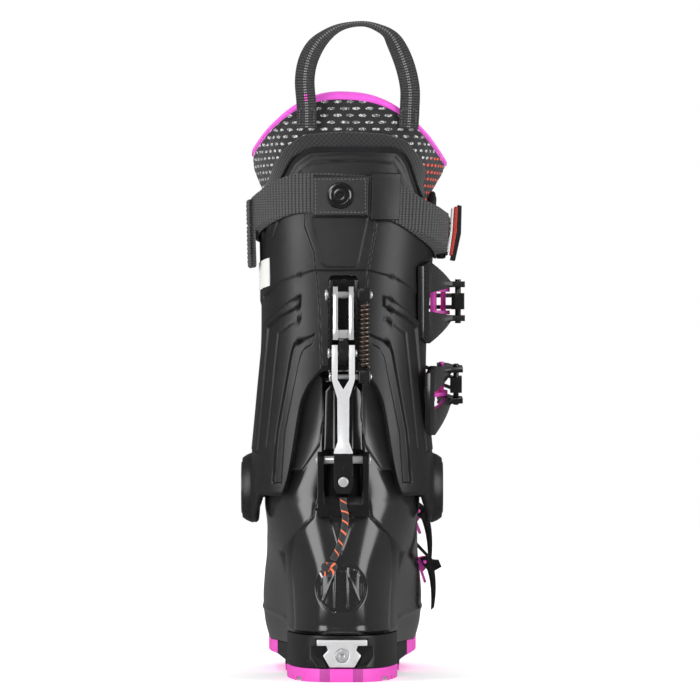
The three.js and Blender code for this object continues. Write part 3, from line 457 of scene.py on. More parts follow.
tread_pink = tread_material()
dimpled_steel = moulded("dimpled_steel", (0.75, 0.75, 0.76), (0.3, 0.3, 0.31), 0.3, 0.05, 1100, 1.0, metallic=0.6)
for node, finish, edge in (
    ("heel_insert_screw", dimpled_steel, 0.3),
    ("toe_insert", bright_steel, 0.4),
    ("medial_pivot_nut", bright_steel, 0.3), ("lateral_pivot_nut", bright_steel, 0.3), ("link_pin", bright_steel, 0.35),
    ("lever_pin", bright_steel, 0.35), ("spring_pin", bright_steel, 0.3),
    ("bracket_bar", bright_steel, 0.3), ("cord_screw", bright_steel, 0.3),
    ("upper_cuff_bail", black_metal, 0.12), ("lower_cuff_bail", black_metal, 0.12), ("instep_bail", black_metal, 0.1),
    ("forefoot_bail", black_metal, 0.1), ("lever_seat", black_metal, 0.5), ("link_bolt", black_metal, 0.2),
    ("link_carrier", black_metal, 0.5), ("spring_end_upper", black_metal, 0.9), ("spring_end_lower", black_metal, 0.9),
    ("upper_cuff_buckle_base", pink_plastic, 0.35), ("lower_cuff_buckle_base", pink_plastic, 0.35),
    ("instep_buckle_base", pink_plastic, 0.25), ("forefoot_buckle_base", pink_plastic, 0.25),
    ("upper_cuff_ladder", black_metal, 0.2), (
        "lower_cuff_ladder", black_metal, 0.2
    ), ("instep_ladder", black_metal, 0.15),
    ("forefoot_ladder", black_metal, 0.15), ("upper_cuff_buckle_lever", gloss_black, 0.8), (
        "lower_cuff_buckle_lever", gloss_black, 0.7
    ),
    ("instep_buckle_lever", gloss_black, 0.5), (
        "forefoot_buckle_lever", gloss_black, 0.5
    ), ("heel_bracket", gloss_black, 0.6),
    ("instep_flap", gloss_black, 0.5),
    ("medial_pivot_disc", black_metal, 0.6), ("lateral_pivot_disc", black_metal, 0.6), ("boot_board", panel_grey, 0.4),
    ("heel_insert", cast_alloy, 0.4), ("arch_sole", sole_rubber, 0.6), (
        "heel_block", satin_black, 0.6
    ), ("heel_tread", tread_pink, 0.5),
    ("fore_sole", tread_pink, 0.5), ("strap_buckle", gloss_black, 0.8),
    ("strap_patch", satin_black, 0.4), ("footbed", panel_grey, 0.6),
):
    refine(node, finish, edge)


def face_bright(piece, finish, low_z, high_z):
    """Gives the faces that look towards the heel, between two heights, a second material."""
    mesh = piece.data
    mesh.materials.append(finish)
    normals, centres = np.empty(len(mesh.polygons) * 3), np.empty(len(mesh.polygons) * 3)
    mesh.polygons.foreach_get("normal", normals)
    mesh.polygons.foreach_get("center", centres)
    normals, centres = normals.reshape(-1, 3), centres.reshape(-1, 3)
    chosen = (normals[:, 1] < -0.8) & (centres[:, 2] > low_z * MM) & (centres[:, 2] < high_z * MM)
    mesh.polygons.foreach_set("material_index", chosen.astype(np.int32))


face_bright(refine("walk_lever", black_metal, 0.6), cast_alloy, 136, 205)
face_bright(refine("link_plates", black_metal, 0.5), bright_steel, 180, 245)

# The coil: 14 turns of 1.4 mm wire between the two spring ends.
SPRING_TURNS = 14
coil_low = np.array([MECH_X + 12.6, -56.4, 189.6]) * MM
coil_high = np.array([MECH_X + 12.6, -50.6, 227.4]) * MM
t = np.linspace(0, 1, SPRING_TURNS * 26)
turn = t * SPRING_TURNS * 2 * np.pi
coil = coil_low + (coil_high - coil_low) * t[:, None] + 2.7 * MM * np.stack([np.cos(turn), np.sin(turn), 0 * turn], 1)
spring = braided_tube("lever_spring_coil", coil, 0.0008, sides=12, relief=0)
sit(spring, "cuff", spring_wire, ["lever_spring"])


# ---- Lower shell ----
# One injection moulding of glossy plastic, 4.5 mm thick: a clog with a slim heel hood. The heel carries a flat raised
# panel, a ring with ribs, a seam down the middle, and ribbed vents at both sides.
SHELL_WALL = 4.5
# height, rear, front, half width at the heel, half width at the ball, squareness
SHELL_ROWS = np.array([
    [12, -36, 226, 31, 44, 2.5], [20, -39, 233, 34, 48, 2.6], [32, -42, 236, 36, 51, 2.6], [46, -44, 233, 37, 52, 2.5],
    [60, -45, 221, 38.5, 51, 2.4], [72, -44.5, 198, 41, 49, 2.4], [
        84, -43, 169, 44.5, 47.5, 2.4
    ], [96, -41, 134, 46.5, 46, 2.4],
    [107, -39, 104, 48, 46.5, 2.4], [116, -38.5, 88, 48, 46.5, 2.3], [130, -38.5, 86.5, 45, 45.5, 2.15],
    [
        144, -37.5, 81.7, 41, 44.5, 2.05
    ], [158, -35.5, 73, 37, 43, 2], [166, -35, 65.1, 35, 42, 2], [178, -35, 62, 33, 36, 2],
    [190, -34.5, 60, 31, 34, 2],
])


def smooth_rows(rows, z):
    """Values at heights z from a table, by monotone cubic curves, so that no row shows as a crease."""
    zs, values = rows[:, 0], rows[:, 1:]
    h = np.diff(zs)[:, None]
    slope = np.diff(values, axis=0) / h
    before, after = slope[:-1], slope[1:]
    inner = np.where(before * after > 0, 2 * before * after / np.where(before + after == 0, 1, before + after), 0)
    tangent = np.vstack([slope[:1], inner, slope[-1:]])
    flat = np.clip(np.asarray(z, float), zs[0], zs[-1])
    k = np.clip(np.searchsorted(zs, flat, side="right") - 1, 0, len(zs) - 2)
    width = (zs[k + 1] - zs[k])[..., None]
    t = (flat - zs[k])[..., None] / width
    return ((2 * t**3 - 3 * t**2 + 1) * values[k] + (t**3 - 2 * t**2 + t) * width * tangent[k]
            + (3 * t**2 - 2 * t**3) * values[k + 1] + (t**3 - t**2) * width * tangent[k + 1])


def smoothstep(x, low, high):
    """0 below low, 1 above high, and an S curve between."""
    t = np.clip((x - low) / (high - low), 0, 1)
    return t * t * (3 - 2 * t)


def section_points(rows, turn, z, offset, with_middle=False):
    """Points of the horizontal sections: a superellipse along the foot, whose half width passes from heel to ball.
    Turn 0 is the rear, a quarter turn is the lateral side. Millimetres."""
    table = smooth_rows(rows, z)
    rear, front, heel, ball = (table[..., k] for k in range(4))
    squareness = 2.5 if with_middle else table[..., 4]
    middle = table[..., 4] if with_middle else 0
    centre, half = (rear + front) / 2, (front - rear) / 2 + offset
    along = -np.sign(np.cos(turn)) * np.abs(np.cos(turn)) ** (2 / squareness)
    across = np.sign(np.sin(turn)) * np.abs(np.sin(turn)) ** (2 / squareness)
    width = heel + (ball - heel) * smoothstep(along, -0.6, 0.5) + offset
    return np.stack([middle + across * width, centre + along * half, np.broadcast_to(z, along.shape)], -1)


def even_turns(count, rear_share=2.2):
    """Angles that lie closer together round the rear, where the finest relief is."""
    t = np.linspace(0, 2 * np.pi, 4000)
    weight = 1 + rear_share * smoothstep(np.cos(t), -0.3, 0.6)
    run = np.concatenate([[0], np.cumsum((weight[1:] + weight[:-1]) / 2)])
    return np.interp(np.linspace(0, run[-1], count, endpoint=False), run, t)


def edge_distance(x, z, outline):
    """Signed distance to a closed outline, positive inside, from the nearest of its edges."""
    p = np.asarray(outline, float)
    q = np.roll(p, -1, 0)
    best = np.full(x.shape, 1e9)
    inside = np.zeros(x.shape, bool)
    for (ax, az), (bx, bz) in zip(p, q):
        dx, dz = bx - ax, bz - az
        t = np.clip(((x - ax) * dx + (z - az) * dz) / (dx * dx + dz * dz), 0, 1)
        best = np.minimum(best, np.hypot(x - ax - t * dx, z - az - t * dz))
        if az != bz:
            inside ^= ((az > z) != (bz > z)) & (x < (bx - ax) * (z - az) / (bz - az) + ax)
    return np.where(inside, best, -best)


def line_distance(x, z, line):
    """Distance to an open line of straight stretches."""
    best = np.full(x.shape, 1e9)
    for (ax, az), (bx, bz) in zip(line[:-1], line[1:]):
        dx, dz = bx - ax, bz - az
        t = np.clip(((x - ax) * dx + (z - az) * dz) / (dx * dx + dz * dz), 0, 1)
        best = np.minimum(best, np.hypot(x - ax - t * dx, z - az - t * dz))
    return best


def raised(x, z, outline, edge=1.2):
    """1 inside an outline and 0 outside, with an S-shaped flank of the given width."""
    return smoothstep(edge_distance(x, z, outline), -edge / 2, edge / 2)


def groove(x, z, line, width=0.8):
    """A round-bottomed groove along a line: 1 in its middle, 0 away from it."""
    return np.exp(-((line_distance(x, z, line) / width) ** 2))


def mirror(points):
    """The same outline on the other side of the boot's middle plane."""
    return [(-x, z) for x, z in points][::-1]


def wall_skin(
    name, rows, turns, low, high, wall, relief=None, levels=160, inner_levels=10, closed=True, with_middle=False,
    outside=0.0, arc=6
):
    """A wall with rounded edges. Each column runs up the outer face from low to high, over a half-round rim,
    down the inner face, and round under the hem, so the whole is one closed skin. low and high are heights per turn."""
    r = wall / 2
    low, high = np.broadcast_to(low, turns.shape), np.broadcast_to(high, turns.shape)
    up = np.linspace(0, 1, levels)[:, None]
    down = np.linspace(1, 0, inner_levels)[:, None]
    bend = np.linspace(0, np.pi, arc + 2)[1:-1, None]
    outer_z = (low + r)[None] + up * (high - low - 2 * r)[None]
    zs = [
        outer_z, (high - r)[None] + r * np.sin(bend), (low + r)[None] + down * (high - low - 2 * r)[None],
        (low + r)[None] - r * np.sin(bend)
    ]
    offsets = [0 * outer_z, -r + r * np.cos(bend) + 0 * zs[1], -wall + 0 * zs[2], -r - r * np.cos(bend) + 0 * zs[3]]
    z, offset = np.vstack(zs), np.vstack(offsets) + outside
    turn = np.broadcast_to(turns, z.shape)
    if relief is not None:
        flat = section_points(rows, turn, z, offset, with_middle)
        facing = np.ones(len(z))
        facing[levels + arc:] = 0
        fade = smoothstep(up[:, 0], 0, 0.012) * smoothstep(1 - up[:, 0], 0, 0.012)
        facing[:levels] = fade
        facing[levels:levels + arc] = 0
        offset = offset + relief(flat[..., 0], flat[..., 1], flat[..., 2]) * facing[:, None]
    points = section_points(rows, turn, z, offset, with_middle) * MM
    rings, columns = z.shape
    faces = grid_faces(rings, columns, wrap_rows=True, wrap_columns=closed).tolist()
    if not closed:
        faces += [tuple(np.arange(rings)[::-1] * columns), tuple(np.arange(rings) * columns + columns - 1)]
    run = np.concatenate([[0], np.cumsum(np.linalg.norm(np.diff(points[levels // 2], axis=0), axis=1))])
    uv = np.stack(np.broadcast_arrays(run[None], points[..., 2]), -1).reshape(-1, 2)
    made = mesh_object(name, points.reshape(-1, 3), faces, uv)
    make_outward(made)
    return made


def edge_heights(rows, turns, height_at, start, offset=0.0, with_middle=False):
    """The height of a wall's edge at each turn, where the edge is known as a height over X and Y."""
    z = np.full(turns.shape, float(start))
    for _ in range(12):
        p = section_points(rows, turns, z, offset, with_middle)
        z = 0.5 * z + 0.5 * height_at(p[:, 0], p[:, 1])
    return z


def turn_at(rows, z, axis, value, near, offset=0.0, with_middle=False):
    """The turn, close to a given one, at which a section has the given X (axis 0) or Y (axis 1)."""
    turn = np.linspace(near - 1.3, near + 1.3, 800)
    coordinate = section_points(rows, turn, np.full(turn.shape, float(z)), offset, with_middle)[:, axis]
    if coordinate[-1] < coordinate[0]:
        turn, coordinate = turn[::-1], coordinate[::-1]
    return float(np.interp(value, coordinate, turn))


def prism(plane, outline, low, high):
    """A closed straight-sided body: an outline in one plane carried along the third axis. Millimetres."""
    flat = np.asarray(outline, float)
    order = {"xz": (0, 2, 1), "yz": (1, 2, 0), "xy": (0, 1, 2)}[plane]
    points = np.zeros((2 * len(flat), 3))
    points[:, order[0]] = np.tile(flat[:, 0], 2)
    points[:, order[1]] = np.tile(flat[:, 1], 2)
    points[:, order[2]] = np.repeat([low, high], len(flat))
    n = len(flat)
    faces = [
        tuple(range(n))[::-1], tuple(range(n, 2 * n))
    ] + [(k, (k + 1) % n, n + (k + 1) % n, n + k) for k in range(n)]
    made = mesh_object("tool", points * MM, faces, smooth=False)
    make_outward(made)
    return made


def make_outward(piece):
    """Turns a closed mesh's faces outwards, by the sign of its volume."""
    mesh = piece.data
    mesh.calc_loop_triangles()
    co = np.empty(len(mesh.vertices) * 3)
    mesh.vertices.foreach_get("co", co)
    co = co.reshape(-1, 3)
    tri = np.empty(len(mesh.loop_triangles) * 3, int)
    mesh.loop_triangles.foreach_get("vertices", tri)
    a, b, c = (co[tri.reshape(-1, 3)[:, k]] for k in range(3))
    if (a * np.cross(b, c)).sum() < 0:
        mesh.flip_normals()


def carve(piece, *tools):
    """Cuts tools out of a piece, then discards them."""
    for tool in tools:
        step = piece.modifiers.new("cut", "BOOLEAN")
        step.operation, step.object, step.solver = "DIFFERENCE", tool, "MANIFOLD"
    apply_modifiers(piece)
    for tool in tools:
        bpy.data.objects.remove(tool)
    piece.data.shade_smooth()
    piece.data.set_sharp_from_angle(angle=np.radians(34))


def disc_outline(y, z, radius):
    """A circle as an outline of 40 points."""
    turn = np.linspace(0, 2 * np.pi, 40, endpoint=False)
    return np.stack([y + radius * np.cos(turn), z + radius * np.sin(turn)], 1)


PIVOT = (22, 116)
HEEL_PANEL = [
    (-30.3, 30), (-29.6, 70), (-27.9, 89.2), (-17.2, 99.4), (-16.6, 104), (16, 104), (16.6, 99.4), (28.4, 87.6),
    (29.6, 70), (29.6, 30)
]
UPPER_FACET = [(-34, 127), (-24, 128.2), (-14.2, 142.7), (-11.5, 160), (-12.5, 184), (-20, 190), (-40, 190)]
RING_MIDDLE, RING_HEIGHT, RING_RADIUS = -0.5, 56.7, 14.4
SIDE_STEP = [(-14.8, 116.4), (-17.2, 99.4), (-27.9, 89.2), (-37.6, 77.6), (-41, 74)]

HOOD_RIDGE_LEFT = [(-11.5, 139), (-11, 176), (-7, 180), (-5, 176), (-5, 139)]
HOOD_RIDGE_RIGHT = [(6.5, 139), (6.5, 176), (8.5, 180), (12.5, 176), (13, 139)]


def shell_relief(x, y, z):
    """Heel relief: raised panels, a ring with ribs, the mould seam, slanted vents and a welt over the heel block."""
    rear = smoothstep(-y, 4, 14)
    height = 1.3 * raised(x, z, HEEL_PANEL, 1.2)
    height += 0.9 * (raised(x, z, UPPER_FACET, 1.0) + raised(x, z, mirror(UPPER_FACET), 1.0)) - 0.9 * smoothstep(
        z, 106, 112
    )
    height -= 0.7 * (groove(x, z, SIDE_STEP) + groove(x, z, [(-a, b) for a, b in SIDE_STEP]))
    from_ring = RING_RADIUS - np.hypot(x - RING_MIDDLE, z - RING_HEIGHT)
    height -= 0.75 * np.exp(-((from_ring / 0.5) ** 2))
    in_ring = smoothstep(from_ring, 0, 1)
    for rib in (-12, -4.4, 3.4, 11):
        height += 0.35 * in_ring * np.exp(-(((x - rib) / 0.5) ** 2))
    height -= 0.35 * in_ring * raised(x, z, [(-4, 42), (3, 42), (3, 72), (-4, 72)], 0.8)
    height += 0.35 * in_ring * np.exp(-(((z - 66.4) / 0.5) ** 2))
    height += 0.3 * in_ring * (groove(x, z, [(-4.4, 65), (-12, 47)], 0.5) + groove(x, z, [(3.4, 65), (11, 47)], 0.5))
    height -= 0.35 * groove(x, z, [(-0.5, 30), (-0.5, 41)], 0.35) + 0.35 * groove(x, z, [(-0.5, 72), (-0.5, 98)], 0.35)
    height -= 1.0 * raised(x, z, [(-7, 99), (-3, 84), (-0.5, 78), (2, 84), (7, 99)], 1.6)
    height += 1.4 * raised(x, z, HOOD_RIDGE_LEFT, 3) + 1.4 * raised(x, z, HOOD_RIDGE_RIGHT, 3)
    height *= rear
    side = smoothstep(np.abs(x), 33, 36) * smoothstep(y, -36, -28) * smoothstep(14 - y, 0, 10)
    slant = z - 0.55 * (y + 14)
    ribs = 0.5 + 0.5 * np.cos(slant * 2 * np.pi / 4.6)
    height -= 1.0 * side * ribs * smoothstep(z, 56, 60) * smoothstep(80 - z, 0, 4)
    height += 0.9 * np.exp(-(((z - 31.2) / 1.4) ** 2)) * smoothstep(30 - y, 0, 10)
    toe = smoothstep(y, 20, 40)
    height += 0.8 * toe * np.exp(-(((z - 38 - 0.02 * (y - 100)) / 1.6) ** 2))
    crease = np.exp(-(((np.abs(x) - 30 + 0.03 * (y - 90)) / 0.7) ** 2))
    height -= 0.5 * toe * crease * smoothstep(z, 56, 60) * smoothstep(215 - y, 0, 10)
    return height


shell_turns = even_turns(440)
start = section_points(SHELL_ROWS, shell_turns, np.full(shell_turns.shape, 150.0), 0)
rim_z = np.interp(start[:, 1], [-60, -24, -12, 22, 60, 100], [187, 185, 168, 150, 147, 140])
shell = wall_skin("lower_shell_skin", SHELL_ROWS, shell_turns, 12.4, rim_z, SHELL_WALL, shell_relief, levels=180)
carve(
    shell,
    prism("xy", [(-36.6, -60), (36.6, -60), (36.6, 26.6), (-36.6, 26.6)], 0, 28.6),
    prism("xz", [(-31.6, 13.4), (31.6, 13.4), (31.6, 26.6), (-31.6, 26.6)], 211.4, 226.6),
    prism("yz", disc_outline(*PIVOT, 6.4), -70, 70),
)


def two_tone_and_highlight_shell():
    """Gloss black, with matt grey panels at the heel where the piece's panel attribute is 1; the hood facets' grey is
    partly a painted highlight.
    """
    made, tree, shader = new_material("two_tone_and_highlight_shell")
    paint = tree.nodes.new("ShaderNodeAttribute")
    paint.attribute_name = "panel"
    fac = paint.outputs["Fac"]
    # The grey is the moulding's own on the heel panel, and partly a painted highlight on the hood facets, where the
    # panel attribute is highest.
    outputs = place_group(tree, MOULDED, {
        "Colour": blend_colour(tree, fac, (0.003, 0.003, 0.0034), (0.06, 0.06, 0.063)),
        "Worn": blend_colour(tree, fac, (0.006, 0.006, 0.007), (0.075, 0.075, 0.078)),
        "Roughness": math(tree, "MULTIPLY_ADD", fac, 0.22, 0.12), "Grain": 2000, "Depth": 0.1, "Drift": 0.02,
    })
    for label, socket in (("Colour", "Base Color"), ("Roughness", "Roughness"), ("Normal", "Normal")):
        tree.links.new(outputs[label], shader.inputs[socket])
    return made


def paint(piece, name, values_of):
    """Stores a value per point, worked out from the points' places in millimetres."""
    mesh = piece.data
    co = np.empty(len(mesh.vertices) * 3)
    mesh.vertices.foreach_get("co", co)
    x, y, z = co.reshape(-1, 3).T / MM
    layer = mesh.attributes.new(name, "FLOAT", "POINT")
    layer.data.foreach_set("value", values_of(x, y, z).astype(np.float32))


SIDE_PANEL = [
    (-60, 79), (-37.6, 77.6), (-27.9, 89.2), (-17.2, 99.4), (-14.8, 116.4), (-14.2, 142), (-24, 127.6), (-60, 126)
]


def shell_panels_and_highlight(x, y, z):
    """1 on the grey panels of the heel and hood, 0 on the gloss black round them. The hood facets get the full 1,
    lighter than the heel panel's 0.22, partly as a painted highlight.
    """
    rear = smoothstep(-y, 2, 6)
    from_ring = RING_RADIUS - np.hypot(x - RING_MIDDLE, z - RING_HEIGHT)
    heel = raised(x, z, HEEL_PANEL, 0.8) * (1 - 0.25 * smoothstep(from_ring, -0.2, 0.2))
    # Painted highlight in part: the hood facets are given the full grey, lighter than the heel panel, for the gloss
    # highlight on them.
    upper = raised(x, z, UPPER_FACET, 0.8) + raised(x, z, mirror(UPPER_FACET), 0.8)
    sides = raised(x, z, SIDE_PANEL, 0.8) + raised(x, z, mirror(SIDE_PANEL), 0.8)
    return np.clip(0.22 * heel * rear + rear * upper + 0.3 * sides * smoothstep(24 - y, 0, 20), 0, 1)


paint(shell, "panel", shell_panels_and_highlight)
sit(shell, "shell", two_tone_and_highlight_shell(), ["lower_shell"])

# ---- Cuff and its front wing ----
# The cuff is one satin black moulding, 4 mm thick, hinged to the shell at the ankle. Behind, it has an arch over the
# hood, a window for the mechanism and a rounded spoiler. The wing is a second, thinner moulding in front.
CUFF_WALL = 4.0
# height, rear, front, half width behind, half width in front, middle
CUFF_ROWS = np.array([
    [92, -38, 86, 55.5, 54, 0], [116, -41, 90, 57, 55, 0], [146, -43.5, 91, 54.5, 52, 0], [170, -44, 92, 52.5, 50, 0],
    [206, -42, 94, 51, 50, 1], [240, -36.5, 98, 52, 51, 2], [270, -31, 102, 54, 52, 3], [300, -25, 106, 55.5, 53, 3.5],
    [330, -19, 110, 57, 54, 4],
], float)
ARCH = np.array([[13, 187], [21, 177], [26, 166], [29, 147], [32, 126], [36, 112], [42, 98], [47, 80]], float)
SPOILER = np.array([[-75, 270], [-47, 270], [-43, 288], [-37, 303], [-30, 316], [-20, 323], [34, 323], [40, 315],
                    [45, 300], [50, 284], [53, 270], [75, 270]], float)


def cuff_top(x, y):
    """The rim: the spoiler's outline behind, and a line that falls towards the shin in front."""
    front = np.interp(y, [-12, 10, 40, 80, 130], [326, 304, 284, 262, 250])
    behind = np.interp(x, SPOILER[:, 0], SPOILER[:, 1])
    return behind + (front - behind) * smoothstep(y, 6, 16)


def cuff_hem(x, y):
    """The lower edge: an arch over the hood behind, a low lobe round each pivot, and a rise in front."""
    side = np.interp(y, [-60, -14, -8, 8, 22, 34, 46, 62, 84, 130], [112, 112, 106, 97, 94, 96, 108, 132, 150, 150])
    arch = np.interp(np.abs(x), ARCH[:, 0], ARCH[:, 1])
    return np.maximum(side, arch * smoothstep(24 - y, 0, 8) + side * (1 - smoothstep(24 - y, 0, 8)))


FRAME = [
    (-21.5, 284), (-22, 275), (-16.4, 259), (-14.9, 244), (-13.5, 227), (-12, 184), (15.2, 184), (14.3, 235),
    (15.7, 250), (20, 275), (19.5, 284)
]
NAME_PANEL = [
    (-17, 280), (-16.4, 275), (-11.6, 252.4), (-9.2, 250), (7.6, 249.8), (9.5, 252.4), (14.3, 275.4), (15, 280)
]
SEAM_LEFT = [(-17.3, 248), (-36.4, 242), (-47.9, 231.4), (-51.3, 225.6), (-60, 214)]
SEAM_RIGHT = [(16.2, 248.1), (31.5, 243.8), (41, 238), (44.9, 234), (60, 221)]
CHEVRON = [
    (-25, 232.3), (-31, 229.5), (-40, 222.5), (-47, 216), (-54.5, 139.5), (-51, 138), (-44.2, 214), (-38, 219.5),
    (-25, 226.5)
]
CHANNEL = [
    (-16.4, 209.5), (-28.8, 204), (-30.7, 198.8), (-39.5, 150), (-42, 120), (-37, 120), (-35, 150), (-25.9, 195),
    (-23, 201), (-18.3, 203.5)
]
FINE_LINE = [(-25, 219), (-31, 216), (-38.4, 210.3), (-39.5, 200), (-45.6, 141)]
SPOILER_RIDGE = [
    (-44, 274), (-40, 286), (-34, 301), (-27, 312.5), (-18, 318.5), (4, 319.5), (32, 318.5), (37, 312), (42, 298),
    (47, 280)
]


def cuff_relief(x, y, z):
    """Relief behind: a spine round the window, a blank name panel, two seams, twin chevrons, channels and a ridge."""
    rear = smoothstep(34 - y, 0, 22)
    above = raised(x, z, SEAM_RIGHT[::-1] + SEAM_LEFT + [(-90, 214), (-90, 340), (90, 340), (90, 221)], 1.1)
    height = 0.9 * above
    height += 1.5 * raised(x, z, FRAME, 1.4) - 0.9 * raised(x, z, NAME_PANEL, 0.9)
    height += 1.4 * (raised(x, z, CHEVRON, 1.2) + raised(x, z, mirror(CHEVRON), 1.2))
    height -= 1.3 * (raised(x, z, CHANNEL, 1.2) + raised(x, z, mirror(CHANNEL), 1.2))
    height -= 0.55 * (groove(x, z, FINE_LINE, 0.7) + groove(x, z, [(-a, b) for a, b in FINE_LINE], 0.7))
    height += 0.5 * (groove(x, z, SPOILER_RIDGE, 1.1))
    height -= 0.4 * groove(x, z, [(a * 0.93, b - 5) for a, b in SPOILER_RIDGE], 0.6)
    lobe = np.hypot(y - PIVOT[0], z - PIVOT[1])
    height = height * rear
    height += 1.0 * np.exp(-(((lobe - 22) / 1.6) ** 2))
    height -= 0.8 * np.exp(-(((z - 262 + 0.42 * (y - 20)) / 0.8) ** 2)) * smoothstep(y, 26, 44)
    return height


def soften(heights, reach, closed=True):
    """A running average of the heights along an edge, which rounds its corners."""
    ring = np.pad(heights, reach, mode="wrap" if closed else "edge")
    bell = np.hanning(2 * reach + 3)[1:-1]
    return np.convolve(ring, bell / bell.sum(), mode="valid")


cuff_turns = even_turns(440, rear_share=2.6)
rim = soften(edge_heights(CUFF_ROWS, cuff_turns, cuff_top, 290, 0, True), 11)
hem = soften(edge_heights(CUFF_ROWS, cuff_turns, cuff_hem, 140, 0, True), 5)
cuff = wall_skin("cuff_skin", CUFF_ROWS, cuff_turns, hem, rim, CUFF_WALL, cuff_relief, levels=176, with_middle=True)
window = [(-8.2, 170), (9.8, 170), (9.8, 242), (8.3, 244.6), (6.5, 245), (-4.9, 245), (-6.7, 244.6), (-8.2, 242)]
slot = [(-8, 80), (8, 80), (8, 300), (-8, 300)]
carve(cuff, prism("xz", window, -80, 0), prism("xz", slot, 62, 140))
sit(cuff, "cuff", satin_black, ["cuff"])

wing_turns = np.linspace(
    turn_at(CUFF_ROWS, 206, 0, 25, np.pi, 3, True), turn_at(CUFF_ROWS, 206, 0, -19, np.pi, 3, True), 90
)
wing = wall_skin("front_wing_skin", CUFF_ROWS, wing_turns, 168, 246 - 8 * np.linspace(-1, 1, 90) ** 4, 2.8, levels=50,
                 closed=False, with_middle=True, outside=3.2)
sit(wing, "cuff", gloss_black, ["front_wing"])

# ---- Cuff label ----
# A small blank white sticker on the medial side of the cuff, below the strap. It is a thin wall laid on the cuff's
# outer face, with its top edge a little lower on one side.
label_white = moulded("label_white", (0.72, 0.72, 0.7), (0.6, 0.6, 0.58), 0.5, 0.03, 900, 0.1)
label_turns = np.linspace(
    turn_at(CUFF_ROWS, 246, 0, -50.2, -0.25, 1, True), turn_at(CUFF_ROWS, 246, 0, -43.4, -0.25, 1, True), 12
)
label_slant = 3 * np.linspace(1, 0, 12)
label = wall_skin("cuff_label", CUFF_ROWS, label_turns, 239 - label_slant, 256 - label_slant, 0.3, levels=14,
                  closed=False, with_middle=True, outside=1.6)
sit(label, "cuff", label_white)

# ---- Liner ----
# A foam boot with a mesh face and a pink bound edge. Its collar stands above the cuff all round, and the tongue closes
# the throat in front. The faces are woven, and the collar's face has staggered oval holes.
LINER_ROWS = np.vstack([
    [[
        z, *smooth_rows(CUFF_ROWS, np.array([z]))[0] + [4.6, -4.6, -4.6, -4.6, 0]
    ] for z in (140, 170, 206, 240, 270, 291)],
    [[301, -20.4, 108, 49.8, 55, 3.6], [316, -16.5, 111, 52, 61.5, 4.5], [332, -12.5, 113, 54, 61.5, 4.5],
     [346, -9, 114, 54, 60, 4.5], [362, -6, 115, 53, 58, 4.5]],
])


def liner_top(x, y):
    """The bound edge: a high arc behind the calf that falls to a lower front."""
    arc = 357 - 32 * (np.abs(x - 4) / 58) ** 2.4 - 0.05 * (x - 4)
    return np.minimum(arc, np.interp(y, [20, 34, 62, 150], [358, 338, 324, 327]))


def woven_group():
    """A woven face: two crossed waves along U and V give the height and paint the colour, as painted shade in the
    hollows and a painted highlight on the raised threads; noise wears the threads.
    """
    tree, take, give = group(
        "woven",
        [("UV", "NodeSocketVector", None), ("Colour", "NodeSocketColor", None), ("Lit thread top", "NodeSocketColor", None),
         ("Weave", "NodeSocketFloat", 900)],
        [("Colour", "NodeSocketColor"), ("Height", "NodeSocketFloat")],
    )
    turns = math(tree, "MULTIPLY", take.outputs["Weave"], 6.283)
    warp, weft = (math(tree, "SINE", math(tree, "MULTIPLY", way, turns)) for way in axes(tree, take.outputs["UV"]))
    weave_height_shade = math(tree, "MULTIPLY_ADD", math(tree, "MULTIPLY", warp, weft), 0.5, 0.5)
    wear = math(tree, "MULTIPLY_ADD", noise(tree, object_place(tree), 60, 4), 0.7, 0.3)
    worn = math(tree, "MULTIPLY", weave_height_shade, wear)
    # Painted shade and highlight: the weave's height mixes the dark base colour in its hollows with the lit thread
    # colour on its tops, scaled by the noise wear.
    tree.links.new(blend_colour(tree, worn, take.outputs["Colour"], take.outputs["Lit thread top"]), give.inputs["Colour"])
    tree.links.new(weave_height_shade, give.inputs["Height"])
    return tree


WOVEN = woven_group()


def perforate(tree, base, height, across, up, light):
    """Staggered oval holes over a woven face: every second row is half a hole along. Loose threads show in them."""
    place = object_place(tree)
    u, v = axes(tree, uv_place(tree))
    row = math(tree, "DIVIDE", v, up)
    odd = math(tree, "MULTIPLY", math(tree, "FLOORED_MODULO", math(tree, "FLOOR", row), 2.0), 0.5)
    cell = math(tree, "FRACT", math(tree, "ADD", math(tree, "DIVIDE", u, across), odd))
    dx = math(tree, "DIVIDE", math(tree, "SUBTRACT", cell, 0.5), 0.3)
    dy = math(tree, "DIVIDE", math(tree, "SUBTRACT", math(tree, "FRACT", row), 0.5), 0.21)
    far = math(tree, "ADD", math(tree, "MULTIPLY", dx, dx), math(tree, "MULTIPLY", dy, dy))
    hole = math(tree, "LESS_THAN", far, math(tree, "MULTIPLY_ADD", noise(tree, place, 300, 2), 0.6, 0.7))
    loose = math(tree, "GREATER_THAN", noise(tree, place, 900, 2), 0.52)
    panel = tree.nodes.new("ShaderNodeAttribute")
    panel.attribute_name = "lateral_panel"
    threads = blend_colour(tree, loose, (0.12, 0.12, 0.12), light)
    threads = blend_colour(tree, panel.outputs["Fac"], threads, (0.7, 0.05, 0.02))
    base = blend_colour(tree, hole, base, threads)
    return base, math(tree, "SUBTRACT", height, math(tree, "MULTIPLY", hole, 2.0))


def fabric(name, colour, thread, holes=None, weave=900.0, roughness=0.85, sheen=0.15):
    """A material of the woven group, with holes where their spacing across, up and their colour are given."""
    made, tree, shader = new_material(name)
    # colour is the painted shade of the weave's hollows, and thread the painted highlight of its raised tops.
    outputs = place_group(tree, WOVEN, {"UV": uv_place(tree), "Colour": colour, "Lit thread top": thread, "Weave": weave})
    base, height = outputs["Colour"], outputs["Height"]
    if holes is not None:
        base, height = perforate(tree, base, height, *holes)
    tree.links.new(base, shader.inputs["Base Color"])
    tree.links.new(bump(tree, height, 0.45, 0.0004), shader.inputs["Normal"])
    shader.inputs["Roughness"].default_value = roughness
    shader.inputs["Sheen Weight"].default_value = sheen
    return made
